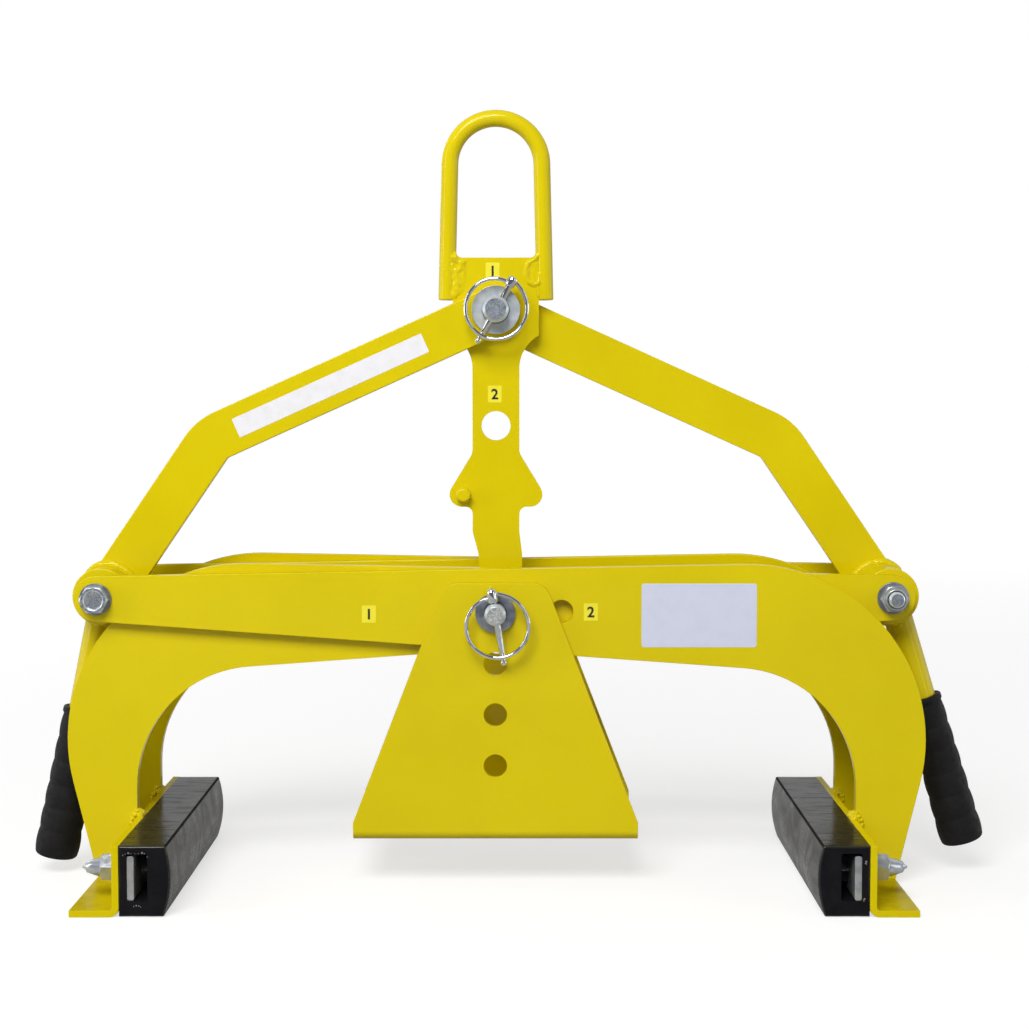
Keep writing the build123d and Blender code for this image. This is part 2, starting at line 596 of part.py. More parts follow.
# Depth stop: a folded saddle that hangs astride the arms from one of its rows of holes
with BuildPart() as depth_stop:
    crest_z = PIVOT_Z + STOP_CREST
    with BuildSketch(Plane.YZ) as saddle:
        with Locations((0, crest_z / 2)):
            Rectangle(2 * STOP_OUTSIDE, crest_z)
        with Locations((0, crest_z / 2 + STOP_PLATE)):
            Rectangle(2 * STOP_INSIDE, crest_z, mode=Mode.SUBTRACT)
        fillet(near(saddle.sketch_local, (-STOP_OUTSIDE, 0), (STOP_OUTSIDE, 0)), FOLD_RADIUS + STOP_PLATE)
        fillet(near(saddle.sketch_local, (-STOP_INSIDE, STOP_PLATE), (STOP_INSIDE, STOP_PLATE)), FOLD_RADIUS)
    extrude(amount=STOP_HALF_WIDTH, both=True)
    with BuildSketch(depth_plane(0, 0, 0, -1)) as outline:
        with BuildLine():
            Polyline((-STOP_HALF_WIDTH, 0), (STOP_HALF_WIDTH, 0), (STOP_HALF_WIDTH, STOP_SKIRT),
                     (STOP_CREST_HALF_WIDTH, crest_z), (-STOP_CREST_HALF_WIDTH, crest_z),
                     (-STOP_HALF_WIDTH, STOP_SKIRT), close=True)
        make_face()
        crest = ((STOP_CREST_HALF_WIDTH, crest_z), (-STOP_CREST_HALF_WIDTH, crest_z))
        fillet(near(outline.sketch_local, *crest), STOP_CREST_RADIUS)
        with Locations(*[(0, PIVOT_Z - row * STOP_HOLE_PITCH) for row in range(STOP_HOLES)]):
            Circle((CENTRE_PIN + PIN_PLAY) / 2, mode=Mode.SUBTRACT)
    extrude(amount=STOP_OUTSIDE, both=True, mode=Mode.INTERSECT)
save(depth_stop, "depth_stop")

# Centre spacer between the innermost arm plates
with BuildPart() as centre_spacer:
    add(washer(depth_plane(0, TUBE_LENGTH / 2, PIVOT_Z, -1), SPACER_TUBE, CENTRE_PIN + SPACER_PLAY,
               TUBE_LENGTH))
save(centre_spacer, "centre_spacer")

# Centre and top pins: a headed pin, a washer at each end, and a linch pin with a spring ring in front
PIN_SETS = {
    "centre": (PIVOT_Z, STOP_OUTSIDE, CENTRE_PIN, CENTRE_PIN_HEAD, CENTRE_WASHER, CENTRE_LINCH_HEAD,
               CENTRE_LINCH_TURN),
    "top": (TOP_Z, LINK_FACE, TOP_PIN, TOP_PIN_HEAD, TOP_WASHER, TOP_LINCH_HEAD, TOP_LINCH_TURN),
}
for name, (pin_z, stack, diameter, head, washer_size, linch_head, linch_turn) in PIN_SETS.items():
    washer_y = stack + SEAT
    head_y = washer_y + PIN_WASHER_HEIGHT + SEAT
    linch_y = -(head_y + LINCH_DIAMETER / 2)
    ring_y = linch_y - (LINCH_DIAMETER + RING_WIRE) / 2 - RING_CLEAR
    lug_front = ring_y - RING_WIRE / 2 - LUG_WALL
    turn = math.radians(linch_turn)
    up = Vector(math.sin(turn), 0, math.cos(turn))
    across = Vector(math.cos(turn), 0, -math.sin(turn))
    hinge = Vector(0, ring_y, pin_z) + up * linch_head
    linch_start = Plane(origin=Vector(0, linch_y, pin_z) + up * linch_head, x_dir=across, z_dir=-up)

    with BuildPart() as pin:
        add(disc(depth_plane(0, head_y, pin_z, -1), diameter, head_y - linch_y + PIN_NOSE))
        chamfer(pin.edges().sort_by(Axis.Y)[0], PIN_CHAMFER)
        add(disc(depth_plane(0, head_y, pin_z, 1), head, PIN_HEAD_HEIGHT))
        hole = Plane(origin=Vector(0, linch_y, pin_z) - up * diameter, x_dir=across, z_dir=up)
        add(disc(hole, LINCH_DIAMETER + LINCH_PLAY, 2 * diameter), mode=Mode.SUBTRACT)
    save(pin, f"{name}_pin")

    with BuildPart() as washers:
        for facing in (-1, 1):
            add(washer(depth_plane(0, facing * washer_y, pin_z, facing), washer_size,
                       diameter + PIN_WASHER_PLAY, PIN_WASHER_HEIGHT))
    save(washers, f"{name}_washers")

    with BuildPart() as linch_pin:
        add(disc(linch_start, LINCH_DIAMETER, LINCH_REACH))
        chamfer(linch_pin.edges().sort_by_distance(linch_start.origin)[-1], LINCH_TIP)
        with BuildSketch(Plane(origin=(hinge.X, lug_front, hinge.Z), x_dir=across, z_dir=(0, 1, 0))):
            RectangleRounded(LUG_WIDTH, LUG_HEIGHT, LUG_ROUND)
        extrude(amount=linch_y + LINCH_DIAMETER / 2 - lug_front)
        ring_hole = Plane(origin=hinge - across * LUG_WIDTH, x_dir=(0, 1, 0), z_dir=across)
        add(disc(ring_hole, RING_WIRE + RING_PLAY, 2 * LUG_WIDTH), mode=Mode.SUBTRACT)
    save(linch_pin, f"{name}_linch_pin")

    ring_centre = hinge - up * (RING_DIAMETER / 2)
    gap = turn + math.radians(RING_GAP / 2)
    spoke = Vector(math.sin(gap), 0, math.cos(gap))
    with BuildPart() as linch_ring:
        with BuildSketch(Plane(origin=ring_centre, x_dir=spoke, z_dir=spoke.cross(Vector(0, 1, 0)))):
            with Locations((RING_DIAMETER / 2, 0)):
                Circle(RING_WIRE / 2)
        revolve(axis=Axis(ring_centre, (0, 1, 0)), revolution_arc=360 - RING_GAP)
    save(linch_ring, f"{name}_linch_ring")
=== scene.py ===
"""Block laying tongs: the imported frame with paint, zinc plate, rubber, welds, labels and a plain studio."""
import json
import math
import bmesh
import bpy
from mathutils import Matrix, Vector, noise


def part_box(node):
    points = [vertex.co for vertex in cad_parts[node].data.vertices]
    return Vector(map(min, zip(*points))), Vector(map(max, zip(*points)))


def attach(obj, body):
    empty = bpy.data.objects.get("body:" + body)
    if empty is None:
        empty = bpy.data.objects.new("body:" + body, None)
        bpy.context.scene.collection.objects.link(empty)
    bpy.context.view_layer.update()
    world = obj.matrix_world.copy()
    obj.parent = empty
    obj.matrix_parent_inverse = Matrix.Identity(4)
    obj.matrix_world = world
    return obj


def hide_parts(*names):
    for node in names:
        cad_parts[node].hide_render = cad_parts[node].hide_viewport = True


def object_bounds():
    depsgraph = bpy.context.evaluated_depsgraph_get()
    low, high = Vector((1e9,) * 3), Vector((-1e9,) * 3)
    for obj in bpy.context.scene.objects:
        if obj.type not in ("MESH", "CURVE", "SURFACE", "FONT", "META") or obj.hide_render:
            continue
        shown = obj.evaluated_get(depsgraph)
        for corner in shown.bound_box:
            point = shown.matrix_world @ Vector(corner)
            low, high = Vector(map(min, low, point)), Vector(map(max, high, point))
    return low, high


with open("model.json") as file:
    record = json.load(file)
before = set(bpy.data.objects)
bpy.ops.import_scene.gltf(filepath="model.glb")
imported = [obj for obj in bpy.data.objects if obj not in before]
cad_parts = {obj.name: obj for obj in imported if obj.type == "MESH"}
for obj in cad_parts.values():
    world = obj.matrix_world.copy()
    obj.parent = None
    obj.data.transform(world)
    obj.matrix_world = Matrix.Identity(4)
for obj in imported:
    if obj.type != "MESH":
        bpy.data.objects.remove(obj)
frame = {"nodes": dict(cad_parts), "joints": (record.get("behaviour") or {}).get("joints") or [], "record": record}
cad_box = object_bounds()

# Without a seed, noise_vector() would differ from run to run
NOISE_SEED = 1
noise.seed_set(NOISE_SEED)

MM = 0.001
SIDES = {"left": -1, "right": 1}
REAR = Vector((0, 1, 0))
UP = Vector((0, 0, 1))

# Places of the frame, in metres
JOINT_PLACES = {joint["name"]: Vector(joint["pos_m"]) for joint in frame["joints"] if "pos_m" in joint}
TOP_PIN = JOINT_PLACES["eye_swing"]
CENTRE_PIN = JOINT_PLACES["jaw_close"]
BOSSES = {side: JOINT_PLACES[f"{side}_link_swing"] for side in SIDES}
FLOOR_Z = cad_box[0].z

# Sizes of the source that new pieces need, in metres; faces are given front first
ARM_FACES = {"right": ((-56.5 * MM, -48.5 * MM), (40.0 * MM, 48.0 * MM)),
             "left": ((-48.0 * MM, -40.0 * MM), (48.5 * MM, 56.5 * MM))}
LINK_FACES = {"left": (-13.5 * MM, -5.5 * MM), "right": (5.5 * MM, 13.5 * MM)}
ANGLE_PLATE = 5.0 * MM
ANGLE_TOP = FLOOR_Z + 51.2 * MM
BOSS_RADIUS = 21.5 * MM
ROD_RADIUS = 11.0 * MM
ROD_Y = -10.0 * MM
ROD_LEAN = {"left": math.radians(11.4), "right": math.radians(16.8)}
ROD_OFFSET = {"left": 2.4 * MM, "right": 5.5 * MM}

# The same, in millimetres: how far down its rod a grip starts, the pads' ends and bolts, half the suspension plate's
# thickness, the M12 hardware and its seats, and how far a linch pin's rod lies behind its ring
GRIP_START = {"left": 92.0, "right": 85.8}
PAD_FRONT, PAD_REAR = -145.0, 105.0
PAD_BOLT_YS = (-109.0, 71.0)
STRAP_HALF = 5.0
FLATS = 19.0
CORNER = FLATS / 2 / math.cos(math.pi / 6)
SHANK = 6.0
BOLT_HEAD = 7.5
BOLT_SEAT = 59.0
NUT_SEAT = 50.5
LINCH_STEP = 5.15


# Mesh helpers
def skin(build, rings, closed=False):
    """Joins rings of points into a tube; a closed one bites its own tail, any other is capped at its ends."""
    loops = [[build.verts.new(point) for point in ring] for ring in rings]
    pairs = list(zip(loops, loops[1:]))
    if closed:
        pairs.append((loops[-1], loops[0]))
    for first, second in pairs:
        for i in range(len(first)):
            j = (i + 1) % len(first)
            build.faces.new((first[i], first[j], second[j], second[i]))
    if not closed:
        build.faces.new(reversed(loops[0]))
        build.faces.new(loops[-1])


def frame_at(origin, axis, across):
    """Matrix whose third axis is the given one, at the given origin."""
    third = Vector(axis).normalized()
    first = (Vector(across) - third * third.dot(Vector(across))).normalized()
    second = third.cross(first)
    turn = Matrix((first, second, third)).transposed().to_4x4()
    return Matrix.Translation(origin) @ turn


def turned(build, place, steps, segments, shape=None, closed=False):
    """Turns steps of (along, radius) in millimetres about the third axis of place; shape may change a radius."""
    rings = []
    for along, radius in steps:
        ring = []
        for i in range(segments):
            angle = 2 * math.pi * i / segments
            reach = (shape(along, radius, angle) if shape else radius) * MM
            ring.append(place @ Vector((reach * math.cos(angle), reach * math.sin(angle), along * MM)))
        rings.append(ring)
    skin(build, rings, closed)


def blob(build, centre, radius, seed, divisions=4, finish=0):
    """Lump of weld metal or torn rubber: a ball pushed in and out by coarse and fine noise."""
    made = bmesh.ops.create_icosphere(build, subdivisions=divisions, radius=radius)
    for vert in made["verts"]:
        way = vert.co.normalized()
        coarse = noise.noise(way * 1.3 + Vector((seed, 0, 0)))
        fine = noise.noise(way * 3.4 + Vector((0, seed, 0)))
        vert.co = centre + way * radius * (1 + 0.30 * coarse + 0.16 * fine)
        for face in vert.link_faces:
            face.material_index = finish


def piece(name, build, body, finishes, stands_for=(), sharp=35):
    """Makes a smooth shaded object of a bmesh, riding on a body."""
    bmesh.ops.recalc_face_normals(build, faces=build.faces)
    mesh = bpy.data.meshes.new(name)
    build.to_mesh(mesh)
    build.free()
    mesh.polygons.foreach_set("use_smooth", [True] * len(mesh.polygons))
    mesh.set_sharp_from_angle(angle=math.radians(sharp))
    for finish in finishes:
        mesh.materials.append(finish)
    made = bpy.data.objects.new(name, mesh)
    bpy.context.collection.objects.link(made)
    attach(made, body)
    if stands_for:
        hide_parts(*stands_for)


# Material helpers
def material(name, **sockets):
    """New material; keywords are sockets of its shader, with _ for a space."""
    made = bpy.data.materials.new(name)
    made.use_nodes = True
    shader = made.node_tree.nodes["Principled BSDF"]
    for socket, value in sockets.items():
        shader.inputs[socket.replace("_", " ")].default_value = value
    return made, made.node_tree, shader


def plug(tree, shader, **outputs):
    """Links outputs to a shader; keywords are its sockets, with _ for a space."""
    for socket, output in outputs.items():
        tree.links.new(output, shader.inputs[socket.replace("_", " ")])


def add_node(tree, kind, inputs=(), **settings):
    """New node with its settings; inputs are pairs of a socket and a value or another node's output."""
    made = tree.nodes.new(kind)
    for key, value in settings.items():
        setattr(made, key, value)
    for socket, value in inputs:
        if isinstance(value, bpy.types.NodeSocket):
            tree.links.new(value, made.inputs[socket])
        else:
            made.inputs[socket].default_value = value
    return made


def calculate(tree, operation, *values):
    """Result of a sum on numbers or outputs."""
    return add_node(tree, "ShaderNodeMath", enumerate(values), operation=operation).outputs["Value"]


def component(tree, vector, axis):
    """The X, Y or Z of a vector."""
    return add_node(tree, "ShaderNodeSeparateXYZ", [("Vector", vector)]).outputs[axis]


def grain(tree, scale, detail, roughness=0.5, stretch=(1, 1, 1), distortion=0.0):
    """Noise fixed to the object, with features of about 1 / scale metres."""
    coords = add_node(tree, "ShaderNodeTexCoord").outputs["Object"]
    mapped = add_node(tree, "ShaderNodeMapping", [("Vector", coords), ("Scale", stretch)])
    return add_node(tree, "ShaderNodeTexNoise", [("Vector", mapped.outputs["Vector"]), ("Scale", scale),
                                                 ("Detail", detail), ("Roughness", roughness),
                                                 ("Distortion", distortion)]).outputs["Fac"]


def remap(tree, value, low, high, to_low, to_high):
    """Linear map of a value from one range to another, clamped."""
    return add_node(tree, "ShaderNodeMapRange", [("Value", value), ("From Min", low), ("From Max", high),
                                                 ("To Min", to_low), ("To Max", to_high)]).outputs["Result"]


def blend(tree, factor, first, second):
    """Mix of two colours."""
    return add_node(tree, "ShaderNodeMix", [(0, factor), (6, first), (7, second)], data_type="RGBA").outputs[2]


def blend_value(tree, factor, first, second):
    """Mix of two numbers."""
    return add_node(tree, "ShaderNodeMix", [(0, factor), (2, first), (3, second)], data_type="FLOAT").outputs[0]


def shade(tone, share):
    """A colour made darker or lighter by a factor."""
    return tuple(share * value for value in tone[:3]) + (1,)


def relief(tree, height, distance, strength, under=None):
    """Bump of a height in metres, on top of another bump if one is given."""
    inputs = [("Height", height), ("Distance", distance), ("Strength", strength)]
    if under:
        inputs.append(("Normal", under))
    return add_node(tree, "ShaderNodeBump", inputs).outputs["Normal"]


# Finishes
def painted_shade_and_grime(tree):
    """Painted shade with some grime: uneven darkening of what faces up close over the floor, fixed to the object."""
    coords = add_node(tree, "ShaderNodeTexCoord").outputs
    low = remap(tree, component(tree, coords["Object"], "Z"), FLOOR_Z + 7 * MM, FLOOR_Z + 10 * MM, 1, 0)
    flat = remap(tree, component(tree, coords["Normal"], "Z"), 0.5, 0.9, 0, 1)
    uneven_patches = remap(tree, grain(tree, 55, 4, 0.6), 0.35, 0.65, 0.35, 0.75)
    return calculate(tree, "MULTIPLY", calculate(tree, "MULTIPLY", uneven_patches, low), flat)


def paint(name, coat, feet_shade_and_grime=False):
    """Yellow powder coat: orange peel, faint clouding, dust in the lacquer, a few scuffs, perhaps painted shade with
    some grime on the tops of the feet.
    """
    made, tree, shader = material(name, Specular_IOR_Level=0.03, Coat_Weight=coat, Coat_Roughness=0.08)
    cloud = remap(tree, grain(tree, 9, 3), 0.3, 0.7, 0, 1)
    tone = blend(tree, cloud, (0.67, 0.535, 0.0015, 1), (0.73, 0.59, 0.0025, 1))
    dust = remap(tree, grain(tree, 900, 1), 0.70, 0.78, 0, 0.35)
    tone = blend(tree, dust, tone, (0.50, 0.38, 0.01, 1))
    scuff = remap(tree, grain(tree, 60, 4, 0.7, (1, 1, 0.06), 1.5), 0.70, 0.75, 0, 0.12)
    tone = blend(tree, scuff, tone, (0.86, 0.76, 0.18, 1))
    if feet_shade_and_grime:
        # Painted shade: the tops of the feet are darkened to a deeper yellow, unevenly like grime
        tone = blend(tree, painted_shade_and_grime(tree), tone, (0.40, 0.315, 0.003, 1))
    gloss = remap(tree, grain(tree, 70, 3), 0.3, 0.7, 0.30, 0.44)
    peel = relief(tree, grain(tree, 420, 2, 0.45), 0.00012, 0.5)
    plug(tree, shader, Base_Color=tone, Roughness=gloss, Normal=relief(tree, grain(tree, 1700, 1), 0.00004, 0.3, peel))
    return made


def facing_depth(tree, low, high):
    """0 to 1 as a surface turns to look along the depth of the tongs."""
    normal = add_node(tree, "ShaderNodeNewGeometry").outputs["Normal"]
    return remap(tree, calculate(tree, "ABSOLUTE", component(tree, normal, "Y")), low, high, 0, 1)


def zinc(name, metal=0.55, bright=(0.68, 0.74, 0.78, 1), dull=(0.52, 0.57, 0.60, 1), rough=(0.285, 0.37), end=None,
         pitting=0.02):
    """Zinc plate: faint clouds with a warm and a blue cast, fine scratches, small pits; ends may be darker."""
    made, tree, shader = material(name, Metallic=metal)
    cloud = remap(tree, grain(tree, 150, 3, 0.55), 0.35, 0.65, 0, 1)
    tone = blend(tree, cloud, dull, bright)
    warm = remap(tree, grain(tree, 70, 2), 0.50, 0.68, 0, 0.30)
    tone = blend(tree, warm, tone, (0.80, 0.76, 0.58, 1))
    blue = remap(tree, grain(tree, 85, 2, 0.5, (1, 1.3, 0.8)), 0.52, 0.68, 0, 0.35)
    tone = blend(tree, blue, tone, (0.58, 0.64, 0.82, 1))
    gloss = remap(tree, grain(tree, 260, 3), 0.3, 0.7, *rough)
    if end:
        looks = facing_depth(tree, 0.90, 0.985)
        speck = remap(tree, grain(tree, 480, 4, 0.75, (1, 1, 1), 0.8), 0.38, 0.64, 0, 1)
        tone = blend(tree, looks, tone, blend(tree, speck, shade(end, 0.6), shade(end, 1.5)))
        gloss = blend_value(tree, looks, gloss, 0.42)
    sway = relief(tree, grain(tree, 45, 1), 0.004, 0.5)
    pits = relief(tree, grain(tree, 900, 3, 0.6), 0.00010, pitting, sway)
    scratches = relief(tree, grain(tree, 900, 2, 0.5, (1, 1, 0.08)), 0.00003, 0.2, pits)
    plug(tree, shader, Base_Color=tone, Roughness=gloss, Normal=scratches)
    return made


def grip_rubber():
    """Black moulded rubber, matt, with a fine pebble and a little dust."""
    made, tree, shader = material("grip_rubber", Specular_IOR_Level=0.22)
    dust = remap(tree, grain(tree, 40, 4, 0.65), 0.45, 0.75, 0, 1)
    tone = blend(tree, dust, (0.006, 0.0058, 0.0065, 1), (0.013, 0.0125, 0.013, 1))
    gloss = remap(tree, grain(tree, 220, 2), 0.3, 0.7, 0.55, 0.75)
    pebble = relief(tree, grain(tree, 1500, 2), 0.00012, 0.5)
    plug(tree, shader, Base_Color=tone, Roughness=gloss, Normal=relief(tree, grain(tree, 240, 2), 0.0002, 0.4, pebble))
    return made


def pad_rubber(name, dark, light, rough, specular, scuffed=0.0):
    """Jaw rubber: streaks along the drawn faces, smears where blocks have rubbed, saw marks, perhaps scuffs across."""
    made, tree, shader = material(name, Specular_IOR_Level=specular)
    streak = remap(tree, grain(tree, 60, 5, 0.62, (1, 0.14, 1), 1.2), 0.30, 0.70, 0, 1)
    smear = remap(tree, grain(tree, 30, 4, 0.6, (1, 0.5, 0.7), 2.5), 0.40, 0.64, 0, 1)
    tone = blend(tree, smear, blend(tree, streak, dark, light), dark)
    worn = blend_value(tree, smear, remap(tree, streak, 0, 1, *rough), rough[1])
    saw = relief(tree, grain(tree, 500, 3, 0.6, (1, 0.2, 1)), 0.0002, 0.04)
    if scuffed:
        across = grain(tree, 260, 4, 0.65, (0.10, 1, 1), 0.6)
        scuff = remap(tree, across, 0.50, 0.66, 0, scuffed)
        tone = blend(tree, scuff, tone, shade(dark, 0.3))
        worn = blend_value(tree, scuff, worn, 0.5)
        saw = relief(tree, across, 0.0002, 0.15, saw)
    plug(tree, shader, Base_Color=tone, Roughness=worn, Normal=relief(tree, grain(tree, 1600, 2), 0.00006, 0.15, saw))
    return made


def vinyl(name, tone, soiled):
    """Printed film: nearly even, with a soft sheen and small bubbles."""
    made, tree, shader = material(name, Specular_IOR_Level=0.45)
    stain = remap(tree, grain(tree, 70, 4, 0.65), 0.45, 0.8, 0, 1)
    gloss = remap(tree, grain(tree, 120, 2), 0.3, 0.7, 0.30, 0.45)
    bubbles = relief(tree, grain(tree, 160, 2), 0.0002, 0.3)
    plug(tree, shader, Base_Color=blend(tree, stain, tone, soiled), Roughness=gloss, Normal=bubbles)
    return made


PAINT = paint("yellow_paint", 0.36)
# Jaw angles: less coat, and painted shade with some grime on the tops of the feet
PAINT_JAW = paint("jaw_paint", 0.10, feet_shade_and_grime=True)
ZINC = zinc("zinc_steel")
ZINC_PIN = zinc("zinc_pin", end=(0.25, 0.28, 0.32, 1), pitting=0.6)
ZINC_WORN = zinc("zinc_worn", end=(0.50, 0.52, 0.50, 1), pitting=0.8)
ZINC_BLUE = zinc("zinc_blue", 0.7, (0.26, 0.29, 0.37, 1), (0.17, 0.19, 0.24, 1), (0.28, 0.36))
ZINC_NUT = zinc("zinc_nut", 0.45, (0.38, 0.41, 0.44, 1), (0.29, 0.31, 0.33, 1), (0.28, 0.35))
ZINC_CAP = zinc("zinc_cap", 0.6, (0.54, 0.57, 0.62, 1), (0.42, 0.45, 0.49, 1), (0.14, 0.24))
# Painted shade: the pad bolts deep in the slots get a near-black zinc in place of the shade that falls there
ZINC_PAINTED_SHADE = zinc("zinc_painted_shade", 0.8, (0.16, 0.17, 0.18, 1), (0.08, 0.085, 0.09, 1), (0.30, 0.45))
ZINC_BRIGHT = zinc("zinc_bright", 1.0, (0.74, 0.76, 0.79, 1), (0.62, 0.64, 0.68, 1), (0.03, 0.06))
ZINC_RECESS = zinc("zinc_recess", 0.6, (0.34, 0.36, 0.42, 1), (0.16, 0.17, 0.20, 1), (0.28, 0.42), pitting=1.0)
STEEL = zinc("bare_strip", 0.6, (0.42, 0.43, 0.42, 1), (0.32, 0.33, 0.33, 1), (0.34, 0.48))
GRIP = grip_rubber()
PAD_SIDE = pad_rubber("pad_side", (0.022, 0.021, 0.019, 1), (0.085, 0.083, 0.077, 1), (0.18, 0.36), 0.10)
PAD_TOP = pad_rubber("pad_top", (0.014, 0.014, 0.013, 1), (0.034, 0.034, 0.032, 1), (0.10, 0.20), 0.060, 0.7)
# Painted dark reflection: the rounded arris between top and side is darker, duller rubber standing in for the dark
# line the edge reflects
PAD_ARRIS_SHADED = pad_rubber("pad_arris_painted_shade", (0.006, 0.006, 0.006, 1), (0.012, 0.012, 0.012, 1), (0.50, 0.65), 0.02)
PAD_NOSE = pad_rubber("pad_nose", (0.006, 0.0055, 0.007, 1), (0.014, 0.013, 0.015, 1), (0.16, 0.26), 0.45)
PAD_END = pad_rubber("pad_end", (0.005, 0.0045, 0.006, 1), (0.010, 0.0095, 0.011, 1), (0.45, 0.60), 0.10)
PAD_TORN = pad_rubber("pad_torn", (0.22, 0.18, 0.18, 1), (0.42, 0.35, 0.34, 1), (0.60, 0.75), 0.10)
PAD_FINISHES = [PAD_SIDE, PAD_TOP, PAD_ARRIS_SHADED, PAD_NOSE, PAD_END, PAD_TORN]
WHITE_FILM = vinyl("white_film", (0.64, 0.67, 0.81, 1), (0.59, 0.62, 0.75, 1))
STRIP_FILM = vinyl("strip_film", (0.87, 0.86, 0.90, 1), (0.78, 0.78, 0.76, 1))
YELLOW_FILM = vinyl("yellow_film", (0.89, 0.79, 0.035, 1), (0.83, 0.72, 0.03, 1))
INK = vinyl("ink", (0.012, 0.012, 0.014, 1), (0.03, 0.03, 0.03, 1))
NYLON = vinyl("nylon", (0.02, 0.02, 0.03, 1), (0.05, 0.05, 0.07, 1))


# The frame's own solids: finishes by slot or node, and edges rounded by modifiers
def soften(shown, width):
    """Rounds the sharp edges of a node without touching its mesh."""
    weld = shown.modifiers.new("weld", "WELD")
    weld.merge_threshold = 0.00001
    flat = shown.modifiers.new("flat", "DECIMATE")
    flat.decimate_type = "DISSOLVE"
    flat.angle_limit = math.radians(0.3)
    bevel = shown.modifiers.new("round", "BEVEL")
    bevel.width = width
    bevel.segments = 3
    bevel.limit_method = "ANGLE"
    bevel.angle_limit = math.radians(40)
    normals = shown.modifiers.new("normals", "WEIGHTED_NORMAL")
    normals.keep_sharp = False


# Finish of each slot, and how wide its edges are rounded
SLOT_FINISHES = {"yellow_paint": (PAINT, 1.1 * MM), "zinc_steel": (ZINC, 0.25 * MM),
                 "grip_rubber": (GRIP, 0), "pad_rubber": (PAD_SIDE, 0)}
NODE_FINISHES = {"top_pin": ZINC_PIN, "centre_pin": ZINC_WORN, "centre_washers": ZINC_BLUE}
for side in SIDES:
    # The pad bolts take the zinc with painted shade, the jaw angles the paint with painted shade on the feet
    NODE_FINISHES.update({f"{side}_jaw_angle": PAINT_JAW, f"{side}_pivot_washers": ZINC_BLUE,
                          f"{side}_clamp_strip": STEEL, f"{side}_pad_bolts": ZINC_PAINTED_SHADE})
for subpart in frame["record"]["subparts"]:
    shown = frame["nodes"][subpart["node"]]
    finish, width = SLOT_FINISHES[subpart["material_slot"]]
    shown.data.materials.clear()
    shown.data.materials.append(NODE_FINISHES.get(subpart["node"], finish))
    if width:
        soften(shown, width)


# Rubber grips
def grip_steps(start):
    """Profile of a grip along its rod, from the bottom of its bore round to the middle of its end."""
    length, cap, collar, corner = 117.7, 8.0, 6.0, 3.0
    bore, rim, neck, foot = 11.1, 15.2, 14.3, 16.5
    ripples, swell, sink = 6, 0.9, 0.25
    body, skirt, end = start + collar, start + length - corner, start + length
    body_steps, corner_steps = 120, 12
    steps = [(end - cap, 0.4), (end - cap, bore), (start + 0.6, bore), (start, bore + 0.6)]
    lip = [(0.0, rim - 1.3), (0.15, rim - 0.7), (0.5, rim - 0.25), (1.0, rim), (3.6, rim + 0.1), (4.4, rim - 0.1),
           (4.9, neck + 0.35), (5.5, neck + 0.05), (collar, neck - 0.05)]
    steps += [(start + along, radius) for along, radius in lip]
    for i in range(1, body_steps + 1):
        share = i / body_steps
        wave = abs(math.sin(math.pi * ripples * share)) ** 0.8
        steps.append((body + (skirt - body) * share, neck + (foot - neck) * share + swell * wave - sink))
    for i in range(1, corner_steps + 1):
        angle = math.pi / 2 * i / corner_steps
        steps.append((skirt + corner * math.sin(angle), foot - sink - corner * (1 - math.cos(angle))))
    return steps + [(end, 4.0), (end - 0.8, 3.2), (end - 0.8, 0.3)]


def rod_frame(side):
    """Frame of a handle rod: third axis down along the rod from the level of the boss's axis."""
    sign = SIDES[side]
    lean = ROD_LEAN[side]
    axis = Vector((sign * math.sin(lean), 0, -math.cos(lean)))
    origin = BOSSES[side] + ROD_OFFSET[side] * Vector((sign * math.cos(lean), 0, math.sin(lean)))
    origin.y = ROD_Y
    return frame_at(origin, axis, REAR)


for side in SIDES:
    build = bmesh.new()
    turned(build, rod_frame(side), grip_steps(GRIP_START[side]), 72)
    piece(f"{side}_rubber_grip", build, f"{side}_link", [GRIP], [f"{side}_grip"], sharp=60)


# Rubber jaw pads: how many faces lie along a side, round a corner, down the back, and from end to end
SIDE_STEPS, CORNER_STEPS, BACK_STEPS, STATIONS = 24, 8, 40, 50


def pad_loop():
    """Section of a pad: depth from the jaw's face, then height over the floor, all round, in millimetres."""
    top, crown, bottom = 33.3, 36.9, 31.8
    low, high = 0.5, 51.2
    middle = (low + high) / 2
    corner = 1.4
    quarter = [math.pi / 2 * i / CORNER_STEPS for i in range(1, CORNER_STEPS + 1)]
    points = []
    for i in range(SIDE_STEPS + 1):
        share = i / SIDE_STEPS
        height = low + corner + (high - low - 2 * corner) * share
        bow = 1 - ((height - middle) / (high - middle)) ** 2
        flat = bottom + (top - bottom) * (height - low) / (high - low)
        points.append((flat + (crown - (top + bottom) / 2) * bow, height))
    face_top, face_bottom = points[-1][0], points[0][0]
    points += [(face_top - corner * (1 - math.cos(a)), high - corner + corner * math.sin(a)) for a in quarter]
    points += [((face_top - corner) * (1 - i / SIDE_STEPS), high) for i in range(1, SIDE_STEPS + 1)]
    points += [(0.0, high - (high - low) * i / BACK_STEPS) for i in range(1, BACK_STEPS)]
    points += [((face_bottom - corner) * i / SIDE_STEPS, low) for i in range(SIDE_STEPS + 1)]
    points += [(face_bottom - corner + corner * math.sin(a), low + corner * (1 - math.cos(a))) for a in quarter[:-1]]
    return points


